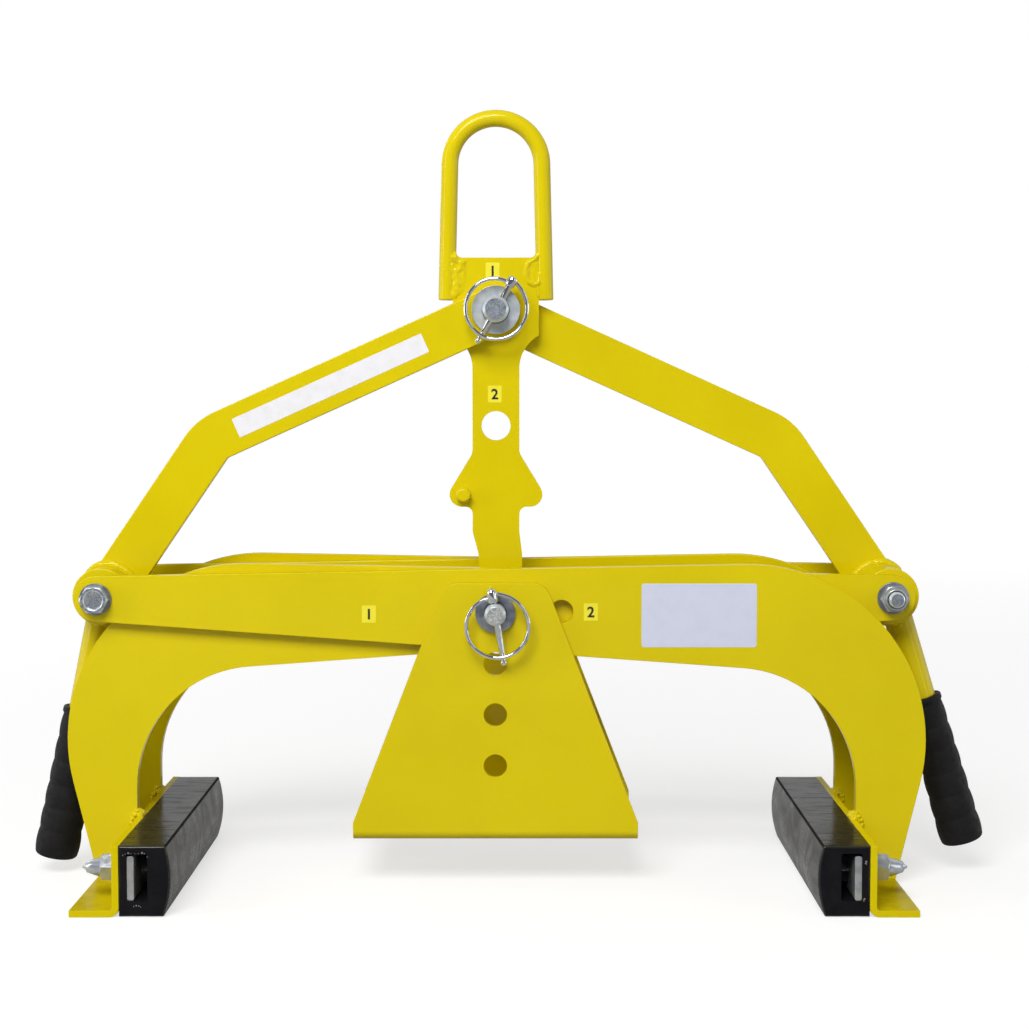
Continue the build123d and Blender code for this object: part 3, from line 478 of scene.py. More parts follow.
def slot_point(point, centre, half_width, half_height, corner):
    """Where the ray from the slot's centre to an outline point leaves the slot."""
    dx, dz = point[0] - centre[0], point[1] - centre[1]
    reach = min(half_width / abs(dx) if dx else 1e9, half_height / abs(dz) if dz else 1e9)
    x, z = dx * reach, dz * reach
    inner_x, inner_z = half_width - corner, half_height - corner
    if abs(x) > inner_x and abs(z) > inner_z:
        over = Vector((abs(x) - inner_x, abs(z) - inner_z))
        over *= corner / max(over.length, corner)
        x = math.copysign(inner_x + over.x, x)
        z = math.copysign(inner_z + over.y, z)
    return centre[0] + x, centre[1] + z


def pad_mesh(sign, jaw_x):
    """Slotted crowned rubber block with soft worn edges, and a ragged slot where the knife has cut its ends."""
    front, rear, edge, lip = PAD_FRONT, PAD_REAR, 1.5, 0.8
    wall, sill, half_width, half_height, slot_corner = 5.7, 11.8, 14.7 / 2, 33.8 / 2, 1.5
    centre = (wall + half_width, sill + half_height)
    outline = pad_loop()
    slot = [slot_point(point, centre, half_width, half_height, slot_corner) for point in outline]
    middle = [((a[0] + b[0]) / 2, (a[1] + b[1]) / 2) for a, b in zip(outline, slot)]

    def ring(points, y, seed, rough, inset=0.0):
        made = []
        for depth, height in points:
            away = Vector((depth - centre[0], height - centre[1]))
            away = away * (1 - inset / away.length)
            shift = noise.noise_vector(Vector((depth * 0.35, height * 0.35, y * 0.05 + seed))) * rough
            made.append(Vector((sign * (jaw_x - (centre[0] + away.x + shift.x) * MM), (y + shift.z * 0.3) * MM,
                                FLOOR_Z + (centre[1] + away.y + shift.y) * MM)))
        return made

    stations = [front + edge + (rear - front - 2 * edge) * i / STATIONS for i in range(STATIONS + 1)]
    turns = [math.radians(angle) for angle in (90, 67.5, 45, 22.5)]
    worn = [(edge * (1 - math.cos(angle)), edge * (1 - math.sin(angle))) for angle in turns]
    rings = [ring(outline, front + along, 0, 0.10, inset) for inset, along in worn]
    rings += [ring(outline, y, 0, 0.03) for y in stations]
    rings += [ring(outline, rear - along, 0, 0.10, inset) for inset, along in reversed(worn)]
    rings += [ring(middle, rear, 3, 0.10), ring(slot, rear, 5, 0.18, -0.4), ring(slot, rear - lip, 5, 0.12)]
    rings += [ring(slot, y, 7, 0.12) for y in reversed(stations[2:-2:6])]
    rings += [ring(slot, front + lip, 9, 0.12), ring(slot, front, 9, 0.18, -0.4), ring(middle, front, 11, 0.10)]
    build = bmesh.new()
    skin(build, rings, closed=True)
    side, top, arris, nose, cut = range(5)
    # The arris faces take the rubber with the painted dark reflection
    drawn = [side] * SIDE_STEPS + [arris] * CORNER_STEPS + [top] * SIDE_STEPS
    rear_end = len(worn) + STATIONS
    for k, face in enumerate(build.faces):
        along, around = divmod(k, len(outline))
        if along < len(worn) or rear_end <= along < rear_end + len(worn):
            face.material_index = nose
        elif along < rear_end:
            face.material_index = drawn[around] if around < len(drawn) else side
        else:
            face.material_index = cut
    return build


# Torn rubber round the slots' front ends: (depth from the jaw's face, height over the floor, radius)
CRUMBS = {"left": [(3.4, 44.8, 0.45), (5.2, 45.6, 0.35), (7.4, 46.3, 0.75), (9.2, 46.0, 0.45), (12.0, 45.8, 0.35),
                   (14.6, 45.9, 0.4), (17.2, 46.4, 0.8), (18.8, 46.0, 0.5), (20.8, 43.6, 0.45), (10.8, 8.0, 0.4),
                   (12.6, 8.6, 0.6), (14.4, 8.3, 0.45), (15.6, 7.6, 0.35)],
          "right": [(3.1, 40.2, 0.85), (3.4, 39.0, 0.7), (3.0, 38.3, 0.4), (4.0, 13.4, 0.7), (4.7, 12.6, 0.55),
                    (4.4, 11.8, 0.4)]}
for side, sign in SIDES.items():
    low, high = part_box(f"{side}_pad")
    jaw_x = high.x if sign > 0 else -low.x
    build = pad_mesh(sign, jaw_x)
    for c, (depth, height, radius) in enumerate(CRUMBS[side]):
        spot = Vector((sign * (jaw_x - depth * MM), low.y, FLOOR_Z + height * MM))
        blob(build, spot, radius * MM, 11.3 + 3.1 * c + sign, 2, PAD_FINISHES.index(PAD_TORN))
    piece(f"{side}_jaw_rubber", build, f"{side}_arm", PAD_FINISHES, [f"{side}_pad"], sharp=50)


# Outer pivots: bolts with dished heads and real threads, lock nuts with a nylon ring
def hexagon(along, radius, angle):
    """Shape for turned(): keeps a radius inside a hexagon that stands on a corner."""
    wedge = (angle + math.pi / 6) % (math.pi / 3) - math.pi / 6
    return min(radius, FLATS / 2 / math.cos(wedge))


def threaded(end):
    """Shape for turned(): a helical thread up to the chamfered end of a shank."""
    pitch, depth, chamfer = 1.75, 0.95, 1.3
    start = end + 23.0

    def shape(along, radius, angle):
        if along > start:
            return radius
        turn = (along / pitch + angle / (2 * math.pi)) % 1
        cut = depth * max(0.0, 1 - 1.25 * abs(2 * turn - 1)) * min(1, (start - along) / pitch)
        return min(radius, SHANK - cut, SHANK - chamfer + max(0, along - end))
    return shape


def pivot_bolt_mesh(place, length):
    """Bolt along the third axis of place: head above the origin, shank below it."""
    dish, thread, fine = BOLT_HEAD - 0.6, 24.0, 0.22
    build = bmesh.new()
    head = [(0.0, SHANK), (0.0, FLATS / 2 - 0.2), (0.25, CORNER)]
    head += [(BOLT_HEAD - 1.15 + 0.1 * i, FLATS / 2 - 0.15 + (1.15 - 0.1 * i) * 1.73) for i in range(11)]
    head += [(BOLT_HEAD, FLATS / 2 - 0.5), (BOLT_HEAD, 7.7), (BOLT_HEAD - 0.25, 7.3), (BOLT_HEAD - 0.55, 6.9)]
    head += [(dish, radius) for radius in (5.0, 2.5, 0.2)]
    turned(build, place, head, 96, hexagon)
    inside = place.inverted()
    for vert in build.verts:
        local = inside @ vert.co
        if local.z > (dish - 0.02) * MM and math.hypot(local.x, local.y) < 6.7 * MM:
            vert.co += place.to_3x3() @ Vector((0, 0, noise.noise(local * 900) * 0.25 * MM))
    for face in build.faces:
        local = inside @ face.calc_center_median()
        if local.z > (dish + 0.02) * MM and math.hypot(local.x, local.y) < 7.0 * MM:
            face.material_index = 1
    count = int(thread / fine)
    shank = [(0.0, SHANK)] + [(-length + thread - thread * i / count, SHANK) for i in range(count + 1)]
    turned(build, place, shank + [(-length, 2.5), (-length, 0.1)], 48, threaded(-length))
    return build


def lock_nut_mesh(place):
    """Lock nut on the origin of place: chamfered hexagon, round collar, nylon ring inside the collar's lip."""
    build = bmesh.new()
    chamfer = [(0.1 * i, FLATS / 2 - 0.15 + 0.17 * i) for i in range(10)]
    nut = [(0.0, 6.1), (0.0, FLATS / 2 - 0.2)] + chamfer[1:9] + [(2.0, CORNER), (6.6, CORNER)]
    nut += [(8.0 - along, radius) for along, radius in reversed(chamfer)]
    nut += [(8.0, 8.6), (8.4, 8.3), (10.8, 8.3)]
    turns = [math.radians(angle) for angle in (15, 30, 45, 60, 75, 90)]
    nut += [(10.8 + 1.2 * math.sin(turn), 7.1 + 1.2 * math.cos(turn)) for turn in turns]
    nut += [(11.8, 6.9), (11.2, 6.8), (11.0, 6.1)]
    turned(build, place, nut, 96, hexagon, closed=True)
    before = len(build.faces)
    ring = [(9.0, 6.75), (11.0, 6.75), (11.3, 6.5), (11.3, 6.25), (11.0, 6.02), (9.0, 6.02)]
    turned(build, place, ring, 64, closed=True)
    build.faces.ensure_lookup_table()
    for face in build.faces[before:]:
        face.material_index = 1
    return build


for side, sign in SIDES.items():
    body = "right_arm" if side == "left" else "left_arm"
    boss = BOSSES[side]
    low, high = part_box(f"{side}_pivot_bolt")
    facing = REAR * sign
    place = frame_at(Vector((boss.x, sign * BOLT_SEAT * MM, boss.z)), facing, UP)
    build = pivot_bolt_mesh(place, (high.y - low.y) / MM - BOLT_HEAD)
    piece(f"{side}_bolt", build, body, [ZINC_PIN, ZINC_RECESS], [f"{side}_pivot_bolt"])
    place = frame_at(Vector((boss.x, -sign * NUT_SEAT * MM, boss.z)), -facing, UP)
    piece(f"{side}_lock_nut", lock_nut_mesh(place), body, [ZINC_NUT, NYLON], [f"{side}_pivot_nut"])


# Cap nuts of the jaw bolts: chamfered hexagon, cone and blunt point
def cap_nut_mesh(build, place):
    """Tall closed nut standing on the origin of place."""
    steps = [(0.0, 5.9), (0.0, 9.2), (0.1, 9.4), (0.9, CORNER), (12.4, CORNER)]
    steps += [(13.9 - 0.15 * i, 9.35 + 0.17 * i) for i in range(9, -1, -1)]
    steps += [(14.0, 9.1), (14.0, 7.7), (14.25, 7.35), (15.0, 7.2), (18.0, 6.4), (21.5, 5.3), (24.6, 4.2), (25.2, 3.8),
              (25.6, 3.1), (26.3, 2.0), (27.2, 1.25), (28.0, 1.0), (28.4, 0.7), (28.5, 0.2)]
    turned(build, place, steps, 96, hexagon)


for side, sign in SIDES.items():
    low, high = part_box(f"{side}_pad_nuts")
    seat = low.x if sign > 0 else high.x
    build = bmesh.new()
    for y in PAD_BOLT_YS:
        origin = Vector((seat, y * MM, (low.z + high.z) / 2))
        cap_nut_mesh(build, frame_at(origin, (sign, 0, 0), Matrix.Rotation(math.radians(-10), 3, "X") @ UP))
    piece(f"{side}_cap_nuts", build, f"{side}_arm", [ZINC_CAP], [f"{side}_pad_nuts"])


# Linch pins and their spring rings
def linch_mesh(hinge, up, across, rod_y, tall):
    """Tapered rod with a ball tip, under a rounded head that holds the ends of the ring."""
    build = bmesh.new()
    rod = [(0.0, 2.65), (24.0, 2.65), (34.0, 2.5), (44.0, 2.1), (48.4, 1.95), (49.2, 1.9), (49.8, 2.2), (50.5, 2.5),
           (51.4, 2.6), (52.2, 2.35), (52.9, 1.7), (53.3, 0.9), (53.4, 0.2)]
    segments = 40
    turned(build, frame_at(Vector((hinge.x, rod_y, hinge.z)), -up, across), rod, segments)
    head = [(-5.0, 2.9), (-4.9, 3.5), (-4.5, 3.85), (-4.0, 3.95), (-1.5, 4.0), (1.5, 4.0), (3.0, 3.9), (4.1, 3.6),
            (4.9, 3.0), (5.4, 2.2), (5.7, 1.2), (5.8, 0.4)]
    rings = []
    for rise, radius in head:
        ring = []
        for i in range(segments):
            angle = 2 * math.pi * (i + 0.5) / segments
            depth = (hinge.y if math.sin(angle) < 0 else rod_y) + radius * MM * math.sin(angle)
            spot = hinge + up * (rise * tall * MM) + across * (radius * MM * math.cos(angle))
            ring.append(Vector((spot.x, depth, spot.z)))
        rings.append(ring)
    skin(build, rings)
    return build


def spring_ring_mesh(hinge, up, across):
    """Ring of spring wire whose two ends enter the head one above the other."""
    mean, wire, gap = 23.25 * MM, 1.55 * MM, math.radians(3)
    spread, fade = 1.9 * MM, 0.42
    count, segments = 160, 16
    centre = hinge - up * mean
    rings = []
    for i in range(count + 1):
        turn = gap + (2 * math.pi - 2 * gap) * i / count
        offset = spread * (math.exp(-turn / fade) - math.exp(-(2 * math.pi - turn) / fade))
        spoke = up * math.cos(turn) + across * math.sin(turn)
        spot = centre + spoke * (mean + offset)
        ring = []
        for k in range(segments):
            angle = 2 * math.pi * k / segments
            ring.append(spot + spoke * wire * math.cos(angle) + REAR * wire * math.sin(angle))
        rings.append(ring)
    build = bmesh.new()
    skin(build, rings)
    return build


# Lean of each pin in degrees, and how tall its head is for its size
for name, body, lean, tall in (("top", "top_pin", 30.0, 0.78), ("centre", "centre", -10.0, 1.0)):
    hinge = JOINT_PLACES[f"{name}_ring_flip"]
    up = Vector((math.sin(math.radians(lean)), 0, math.cos(math.radians(lean))))
    across = Vector((up.z, 0, -up.x))
    build = linch_mesh(hinge, up, across, hinge.y + LINCH_STEP * MM, tall)
    piece(f"{name}_linch", build, body, [ZINC_BRIGHT], [f"{name}_linch_pin"], sharp=50)
    build = spring_ring_mesh(hinge, up, across)
    piece(f"{name}_spring_ring", build, f"{name}_ring", [ZINC_BRIGHT], [f"{name}_linch_ring"], sharp=60)


# Welds
def even(path, step):
    """Points at an even step along a path."""
    lengths = [0.0]
    for first, second in zip(path, path[1:]):
        lengths.append(lengths[-1] + (second - first).length)
    count = max(4, round(lengths[-1] / step))
    points = []
    at = 0
    for i in range(count + 1):
        want = lengths[-1] * i / count
        while at < len(path) - 2 and lengths[at + 1] < want:
            at += 1
        share = (want - lengths[at]) / max(1e-9, lengths[at + 1] - lengths[at])
        points.append(path[at].lerp(path[at + 1], share))
    return points


def bead(build, path, radius, out, seed, flatten, rippled=0.24, fade=0.8):
    """Lays a weld bead along a path: overlapping ripples, an uneven width and blunt ends."""
    step = radius * 0.22
    segments = 14
    points = even(path, step)
    last = len(points) - 1
    rings = []
    for i, point in enumerate(points):
        along = (points[min(i + 1, last)] - points[max(i - 1, 0)]).normalized()
        side = along.cross(out).normalized()
        top = side.cross(along)
        end = min(1.0, (min(i, last - i) + 0.35) * step / (fade * radius))
        taper = math.sqrt(max(0.0, 1 - (1 - end) ** 2))
        scale = (i * step / (radius * 1.5) + noise.noise(Vector((seed, i * 0.08, 0))) * 0.8) % 1
        ripple = 1.04 + rippled * (math.sin(math.pi * scale) ** 0.7 - 0.8)
        wander = side * radius * 0.22 * noise.noise(Vector((i * step / radius * 0.35, seed, 4)))
        ring = []
        for k in range(segments):
            angle = 2 * math.pi * k / segments
            lump = 1 + 0.20 * noise.noise(Vector((math.cos(angle), math.sin(angle) + seed, i * step / radius * 0.6)))
            reach = radius * taper * ripple * lump
            ring.append(point + wander + side * reach * math.cos(angle) + top * reach * flatten * math.sin(angle))
        rings.append(ring)
    skin(build, rings)


def arc(centre, radius, start, end, y):
    """Points of an arc in an upright plane, angles in degrees from +X towards +Z."""
    count = 40
    angles = [math.radians(start + (end - start) * i / count) for i in range(count + 1)]
    return [Vector((centre.x + radius * math.cos(a), y, centre.z + radius * math.sin(a))) for a in angles]


def upright(x, y, z):
    """Point given in millimetres from the top pin."""
    return Vector((TOP_PIN.x + x * MM, y * MM, TOP_PIN.z + z * MM))


# Lifting eye on the suspension plate, in millimetres from the top pin
PLATE_TOP = 40.4
LEG_SIDE = 30.55
FILLET = 4.6


def weld_top(a):
    """How high a weld may reach on the plate's face: a little inside its top edge and the hollow corner fillets."""
    margin = 1.0
    into = min(FILLET, max(0.0, abs(a) - (LEG_SIDE - FILLET)))
    return PLATE_TOP + FILLET - math.sqrt(FILLET ** 2 - into ** 2) - margin


def painted_weld(build, place, strokes, seed):
    """Weld under thick paint: lumpy ridges along strokes that melt into the face at place, in millimetres."""
    step, sunk, hidden, shoulder_width = 0.5, -0.25, -0.2, 2.5
    wide = max(width for _, width, _ in strokes)
    spots = [spot for points, _, _ in strokes for spot in points]
    low_a, high_a = (f(a for a, _ in spots) for f in (min, max))
    low_b, high_b = (f(b for _, b in spots) for f in (min, max))
    columns = int((high_a - low_a + 2 * wide) / step) + 2
    rows = int((high_b - low_b + 2 * wide) / step) + 2

    def height(a, b):
        best = sunk
        for points, width, rise in strokes:
            for (a0, b0), (a1, b1) in zip(points, points[1:]):
                way = Vector((a1 - a0, b1 - b0))
                along = max(0.0, min(1.0, Vector((a - a0, b - b0)).dot(way) / way.length_squared))
                away = math.hypot(a - a0 - way.x * along, b - b0 - way.y * along)
                lump = 0.85 + 0.45 * noise.noise(Vector((a * 0.26, b * 0.26, seed)))
                share = away / (width * (0.9 + 0.35 * noise.noise(Vector((a * 0.22, b * 0.22, seed + 7)))))
                if share < 1:
                    best = max(best, rise * lump * (1 - share ** 2) ** 1.1 - 0.05)
        shoulder = max(0.0, min(1.0, (weld_top(a) - b) / shoulder_width)) ** 0.5
        return shoulder * (best - sunk) + sunk

    grid = {}
    for i in range(columns):
        for j in range(rows):
            a, b = low_a - wide + i * step, low_b - wide + j * step
            grid[i, j] = (a, b, height(a, b))
    made = {}
    for i in range(columns - 1):
        for j in range(rows - 1):
            corners = [(i, j), (i + 1, j), (i + 1, j + 1), (i, j + 1)]
            if all(grid[key][2] <= hidden for key in corners):
                continue
            for key in corners:
                if key not in made:
                    a, b, rise = grid[key]
                    made[key] = build.verts.new(place @ Vector((a * MM, b * MM, rise * MM)))
            build.faces.new([made[key] for key in corners])


def corner_fillet(build, sign):
    """Hollow fillet between the top of the plate and a leg of the eye; sign points from the plate to the leg."""
    half, into, under, edge = 4.9, 3.0, -2.0, 0.8
    profile = [(into, under), (-FILLET, under)]
    for i in range(9):
        angle = math.radians(90 * i / 8)
        profile.append((-FILLET + FILLET * math.sin(angle), FILLET - FILLET * math.cos(angle)))
    profile.append((into, FILLET))
    rings = []
    for y, inset in ((-half, edge), (-half + edge, 0.0), (half - edge, 0.0), (half, edge)):
        rings.append([upright(sign * LEG_SIDE + sign * (a + inset * (a < 0)), y, PLATE_TOP + b - inset * (b > 0))
                      for a, b in profile])
    skin(build, rings)


# Strokes of the welds: (points, half width, rise)
LEFT_EYE_WELD = [([(-33, 41), (-30, 39.5), (-26.0, 36.5), (-27.0, 32)], 4.0, 1.9),
                 ([(-34, 33), (-30.8, 29), (-29.6, 22), (-30, 15), (-32, 12)], 4.2, 1.8),
                 ([(-25.5, 30), (-26, 22), (-28.0, 15)], 3.6, 0.9)]
RIGHT_EYE_WELD = [([(33, 43), (30.5, 39.5), (26, 38), (23.8, 33), (23.6, 27), (25.6, 22), (29.5, 19.4), (32.5, 20.5),
                    (34, 27)], 2.8, 1.5),
                  ([(29.5, 35), (29.5, 24)], 5.0, 0.6), ([(32, 19), (33, 12)], 2.6, 0.8)]
build = bmesh.new()
for facing in (-1, 1):
    place = frame_at(upright(0, STRAP_HALF * facing, 0), REAR * facing, (-facing, 0, 0))
    for seed, strokes in ((11, LEFT_EYE_WELD), (23, RIGHT_EYE_WELD)):
        mirrored = [([(-facing * a, b) for a, b in points], width, rise) for points, width, rise in strokes]
        painted_weld(build, place, mirrored, seed + 50 * facing)
for sign in (-1, 1):
    corner_fillet(build, sign)
piece("eye_welds", build, "suspension", [PAINT], sharp=70)

# Links and rods on their bosses: turn of a link's weld and half its sweep, in degrees, then lumps under the boss
LINK_TURN, LINK_SWEEP = 33.7, 84
BOSS_LUMPS = [(-8.0, -13.0, -22.0), (-7.0, -7.0, -23.5)]
for side, sign in SIDES.items():
    build = bmesh.new()
    boss = BOSSES[side]
    middle = 90 + sign * LINK_TURN
    for k, y in enumerate(LINK_FACES[side]):
        path = arc(boss, BOSS_RADIUS + 0.6 * MM, middle - LINK_SWEEP, middle + LINK_SWEEP, y)
        bead(build, path, 3.3 * MM, REAR * (1 if k else -1), 41 + 3 * k + sign, 0.9, rippled=0.12, fade=5.0)
    place = rod_frame(side)
    axis = place.to_3x3() @ UP
    around, count = ROD_RADIUS + 0.4 * MM, 72
    saddle = []
    for i in range(count + 1):
        angle = 2 * math.pi * i / count
        spot = place @ Vector((around * math.cos(angle), around * math.sin(angle), 0))
        offset = Vector((spot.x - boss.x, 0, spot.z - boss.z))
        half = offset.dot(axis)
        reach = -half + math.sqrt(half ** 2 - offset.length_squared + (BOSS_RADIUS + 0.4 * MM) ** 2)
        saddle.append(spot + axis * reach)
    bead(build, saddle, 3.6 * MM, axis, 53 + sign, 1.0)
    for b, (out, y, drop) in enumerate(BOSS_LUMPS):
        blob(build, boss + Vector((sign * out, y, drop)) * MM, 3.6 * MM, 29.1 + 4.7 * b + sign)
    piece(f"{side}_boss_welds", build, f"{side}_link", [PAINT], sharp=70)

# Arm plates on the jaw angles: (outwards from the angle's back, above its top, radius, place on the plate)
TOP_WELD = [(-2.4, 1.0, 3.3, "front"), (0.6, 1.6, 2.7, "front"), (2.6, -1.2, 2.5, "front"), (-0.8, 4.0, 2.2, "front"),
            (3.4, -4.6, 2.2, "front"), (-2.6, 1.4, 3.2, "middle"), (-1.6, 3.2, 2.4, "middle"),
            (-2.4, 1.0, 3.2, "rear"), (1.2, 0.4, 2.8, "rear"), (2.4, -3.0, 2.3, "rear")]
# Spatter beside the foot of a plate: (outwards from the angle's back, above the foot, radius)
SPATTER = [(4.5, 8.0, 0.9), (7.5, 7.3, 1.15), (10.6, 8.3, 1.0), (12.6, 7.0, 0.85), (9.0, 5.6, 0.8)]
for side, sign in SIDES.items():
    build = bmesh.new()
    low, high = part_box(f"{side}_jaw_angle")
    jaw_x = low.x if sign > 0 else -high.x
    back_x = jaw_x + ANGLE_PLATE
    toe_x = (high.x if sign > 0 else -low.x) - 4.0 * MM
    foot_z = FLOOR_Z + ANGLE_PLATE
    seam = [(back_x - 1.5 * MM, ANGLE_TOP + 1.0 * MM), (back_x + 0.6 * MM, ANGLE_TOP - 3.0 * MM),
            (back_x + 0.8 * MM, foot_z + 6.0 * MM), (back_x + 2.6 * MM, foot_z + 2.0 * MM),
            (back_x + 6.0 * MM, foot_z + 0.6 * MM), (toe_x, foot_z + 0.4 * MM)]
    for p, plate in enumerate(ARM_FACES[side]):
        for k, y in enumerate(plate):
            path = [Vector((sign * x, y, z)) for x, z in seam]
            bead(build, path, 2.7 * MM, REAR * (1 if k else -1), 61 + 5 * p + 2 * k + sign, 0.9)
        depths = {"front": plate[0] - 0.3 * MM, "middle": sum(plate) / 2, "rear": plate[1] + 0.3 * MM}
        for b, (out, rise, radius, where) in enumerate(TOP_WELD):
            spot = Vector((sign * (back_x + (out + 0.8 + 2.4 * p) * MM), depths[where],
                           ANGLE_TOP + (rise - 1.2 * p) * MM))
            blob(build, spot, radius * (1 - 0.15 * p) * MM, 83.3 + 7.1 * b + 3.7 * p + sign)
        for b, (out, rise, radius) in enumerate(SPATTER):
            spot = Vector((sign * (back_x + out * MM), plate[0] - 0.1 * MM, foot_z + rise * MM))
            blob(build, spot, radius * MM, 17.9 + 5.3 * b + 2.9 * p + sign)
    piece(f"{side}_jaw_welds", build, f"{side}_arm", [PAINT], sharp=70)


# Labels
def film(name, body, middle, half_length, half_height, corner, y, finish, turn=0.0):
    """Thin label on a face that looks to the front: rounded rectangle about a middle (x, z), turned by an angle."""
    build = bmesh.new()
    outline = []
    for cx, cz, start in ((1, -1, -90), (1, 1, 0), (-1, 1, 90), (-1, -1, 180)):
        for i in range(7):
            angle = math.radians(start + 15 * i)
            outline.append((cx * (half_length - corner) + corner * math.cos(angle),
                            cz * (half_height - corner) + corner * math.sin(angle)))
    across = Vector((math.cos(turn), 0, math.sin(turn)))
    up = Vector((-math.sin(turn), 0, math.cos(turn)))
    rings = []
    for inset, height in ((0.0, -0.02), (0.0, 0.10), (0.06, 0.14)):
        centre = Vector((middle[0], y - height * MM, middle[1]))
        shrink_x = 1 - inset * MM / half_length
        shrink_z = 1 - inset * MM / half_height
        rings.append([centre + across * (a * shrink_x) + up * (b * shrink_z) for a, b in outline])
    skin(build, rings)
    piece(name, build, body, [finish], sharp=20)


def numeral(name, body, text, middle, y):
    """Plain numeral standing just in front of a face."""
    height, size_of_height = 8.0 * MM, 1.38
    curve = bpy.data.curves.new(name + "_text", "FONT")
    curve.body = text
    curve.size = height * size_of_height
    curve.align_x = "CENTER"
    curve.extrude = 0.03 * MM
    curve.offset = 0.28 * MM
    writer = bpy.data.objects.new(name + "_text", curve)
    bpy.context.collection.objects.link(writer)
    bpy.context.view_layer.update()
    mesh = bpy.data.meshes.new_from_object(writer)
    bpy.data.objects.remove(writer)
    mesh.name = name
    top = max(vert.co.y for vert in mesh.vertices)
    low = min(vert.co.y for vert in mesh.vertices)
    mesh.transform(Matrix.Translation((0, -(top + low) / 2, 0)))
    mesh.transform(Matrix.Translation((middle[0], y, middle[1])) @ Matrix.Rotation(math.pi / 2, 4, "X"))
    build = bmesh.new()
    build.from_mesh(mesh)
    bpy.data.meshes.remove(mesh)
    piece(name, build, body, [INK])


ARM_FRONT = ARM_FACES["right"][0][0]
STRAP_FRONT = -STRAP_HALF * MM
film("link_label", "left_link", (-0.12685, TOP_PIN.z - 0.05765), 79.8 * MM, 7.7 * MM, 1.0 * MM, LINK_FACES["left"][0],
     STRIP_FILM, math.radians(24.3))
film("arm_label", "right_arm", (0.1527, CENTRE_PIN.z - 0.0028), 43.2 * MM, 24.0 * MM, 2.0 * MM, ARM_FRONT, WHITE_FILM)
# Settings beside the pin holes: (name, body, numeral, sideways, pin, above the pin, face)
SETTINGS = [("upper_setting", "suspension", "1", -2.5, TOP_PIN, 30.1, STRAP_FRONT),
            ("lower_setting", "suspension", "2", -0.9, TOP_PIN, -64.2, STRAP_FRONT),
            ("inner_setting", "right_arm", "1", -94.8, CENTRE_PIN, -1.8, ARM_FRONT),
            ("outer_setting", "right_arm", "2", 71.5, CENTRE_PIN, -0.2, ARM_FRONT)]
for name, body, text, x, pin, rise, y in SETTINGS:
    middle = (x * MM, pin.z + rise * MM)
    film(f"{name}_label", body, middle, 5.3 * MM, 6.5 * MM, 0.6 * MM, y, YELLOW_FILM)
    numeral(f"{name}_numeral", body, text, middle, y - 0.15 * MM)

# Studio: pale floor, white surroundings, soft lamps, and the photograph's camera
WHITE = (1, 1, 1, 1)
FLOOR_GREY = (0.42, 0.42, 0.42, 1)
FLOOR_HALF = 12.0
LAMP_TARGET = Vector((0, 0, 0.2))
# Lamps: place, width, height, power
LAMPS = {"key": ((-0.55, -2.1, 2.05), 1.5, 1.3, 72), "front_left": ((-2.6, -1.2, 1.0), 0.45, 1.8, 16),
         "front_right": ((2.3, -1.8, 0.9), 0.8, 1.8, 9), "side_left": ((-2.9, 0.15, 0.42), 2.0, 0.8, 8),
         "side_right": ((2.9, 0.15, 0.42), 2.0, 0.8, 8), "back": ((-1.7, 2.3, 1.3), 1.2, 1.0, 10)}
CAMERA_PLACE = (0.0143, -1.4873, 0.3343)
CAMERA_DIP = math.radians(3.563)
LENS, SENSOR = 67.14, 36.0


def background_ray(tree, way):
    """1 for rays that see the plain background; reflections of the room beside and behind the camera get less."""
    path = add_node(tree, "ShaderNodeLightPath").outputs
    room = remap(tree, component(tree, way, "Y"), -0.4, 0.3, 0.04, 0.75)
    mirrored = calculate(tree, "MULTIPLY", path["Is Glossy Ray"], room)
    seen = calculate(tree, "MAXIMUM", path["Is Camera Ray"], mirrored)
    return calculate(tree, "MAXIMUM", seen, path["Is Transmission Ray"])


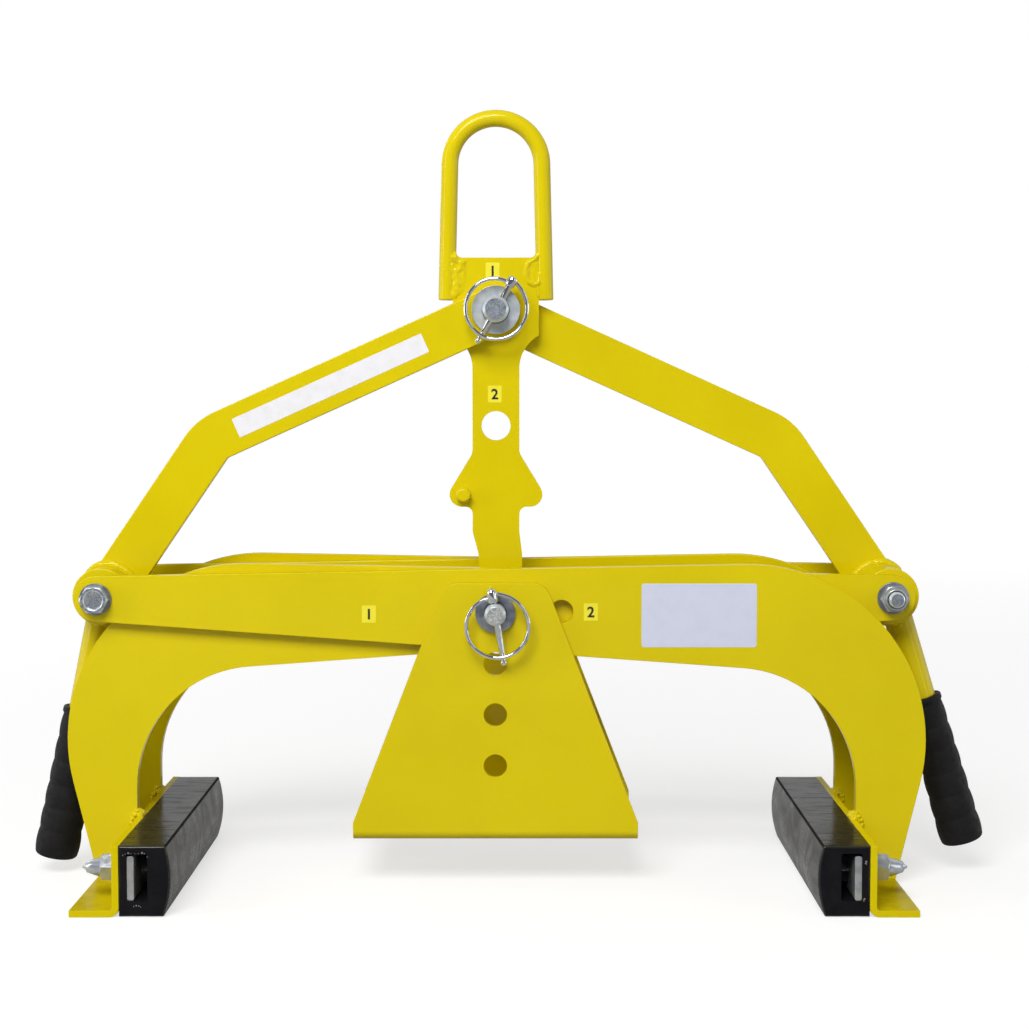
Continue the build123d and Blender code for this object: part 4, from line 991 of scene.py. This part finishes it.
def surroundings():
    """White where it is seen, a moderate grey where it lights the object."""
    world = bpy.data.worlds.new("studio")
    bpy.context.scene.world = world
    world.use_nodes = True
    tree = world.node_tree
    lit = tree.nodes["Background"]
    lit.inputs["Color"].default_value = WHITE
    lit.inputs["Strength"].default_value = 0.12
    seen = add_node(tree, "ShaderNodeBackground", [("Color", WHITE), ("Strength", 1.0)])
    way = add_node(tree, "ShaderNodeTexCoord").outputs["Generated"]
    mixed = add_node(tree, "ShaderNodeMixShader", [(0, background_ray(tree, way)), (1, lit.outputs[0]),
                                                   (2, seen.outputs[0])])
    tree.links.new(mixed.outputs[0], tree.nodes["World Output"].inputs["Surface"])


def floor():
    """Pale sheet under the feet, wide enough to fill every view."""
    build = bmesh.new()
    corners = [(-1, -1), (1, -1), (1, 1), (-1, 1)]
    build.faces.new([build.verts.new((x * FLOOR_HALF, y * FLOOR_HALF, FLOOR_Z)) for x, y in corners])
    mesh = bpy.data.meshes.new("studio_floor")
    build.to_mesh(mesh)
    build.free()
    made, tree, shader = material("studio_floor", Roughness=0.9, Specular_IOR_Level=0.0, Base_Color=FLOOR_GREY,
                                  Emission_Color=WHITE)
    spot = add_node(tree, "ShaderNodeNewGeometry").outputs["Position"]
    reach = add_node(tree, "ShaderNodeVectorMath", [(0, spot)], operation="LENGTH").outputs["Value"]
    glow = remap(tree, reach, 0.3, 3.5, 0.66, 0.95)
    plug(tree, shader, Emission_Strength=calculate(tree, "MULTIPLY", background_ray(tree, spot), glow))
    mesh.materials.append(made)
    sheet = bpy.data.objects.new("studio_floor", mesh)
    bpy.context.collection.objects.link(sheet)


def lamp(name, place, width, height, power):
    """Rectangular soft lamp aimed at the tongs."""
    data = bpy.data.lights.new(name, "AREA")
    data.shape = "RECTANGLE"
    data.size = width
    data.size_y = height
    data.energy = power
    made = bpy.data.objects.new(name, data)
    made.location = place
    made.rotation_euler = (LAMP_TARGET - Vector(place)).to_track_quat("-Z", "Y").to_euler()
    bpy.context.collection.objects.link(made)


def camera():
    """The photograph's viewpoint: level horizon, looking a little downwards."""
    data = bpy.data.cameras.new("photo_camera")
    data.sensor_width = SENSOR
    data.lens = LENS
    made = bpy.data.objects.new("photo_camera", data)
    made.location = CAMERA_PLACE
    made.rotation_euler = (math.pi / 2 - CAMERA_DIP, 0, 0)
    bpy.context.collection.objects.link(made)
    bpy.context.scene.camera = made


surroundings()
floor()
for name, settings in LAMPS.items():
    lamp(name, *settings)
camera()
bpy.context.scene.view_settings.view_transform = "Standard"
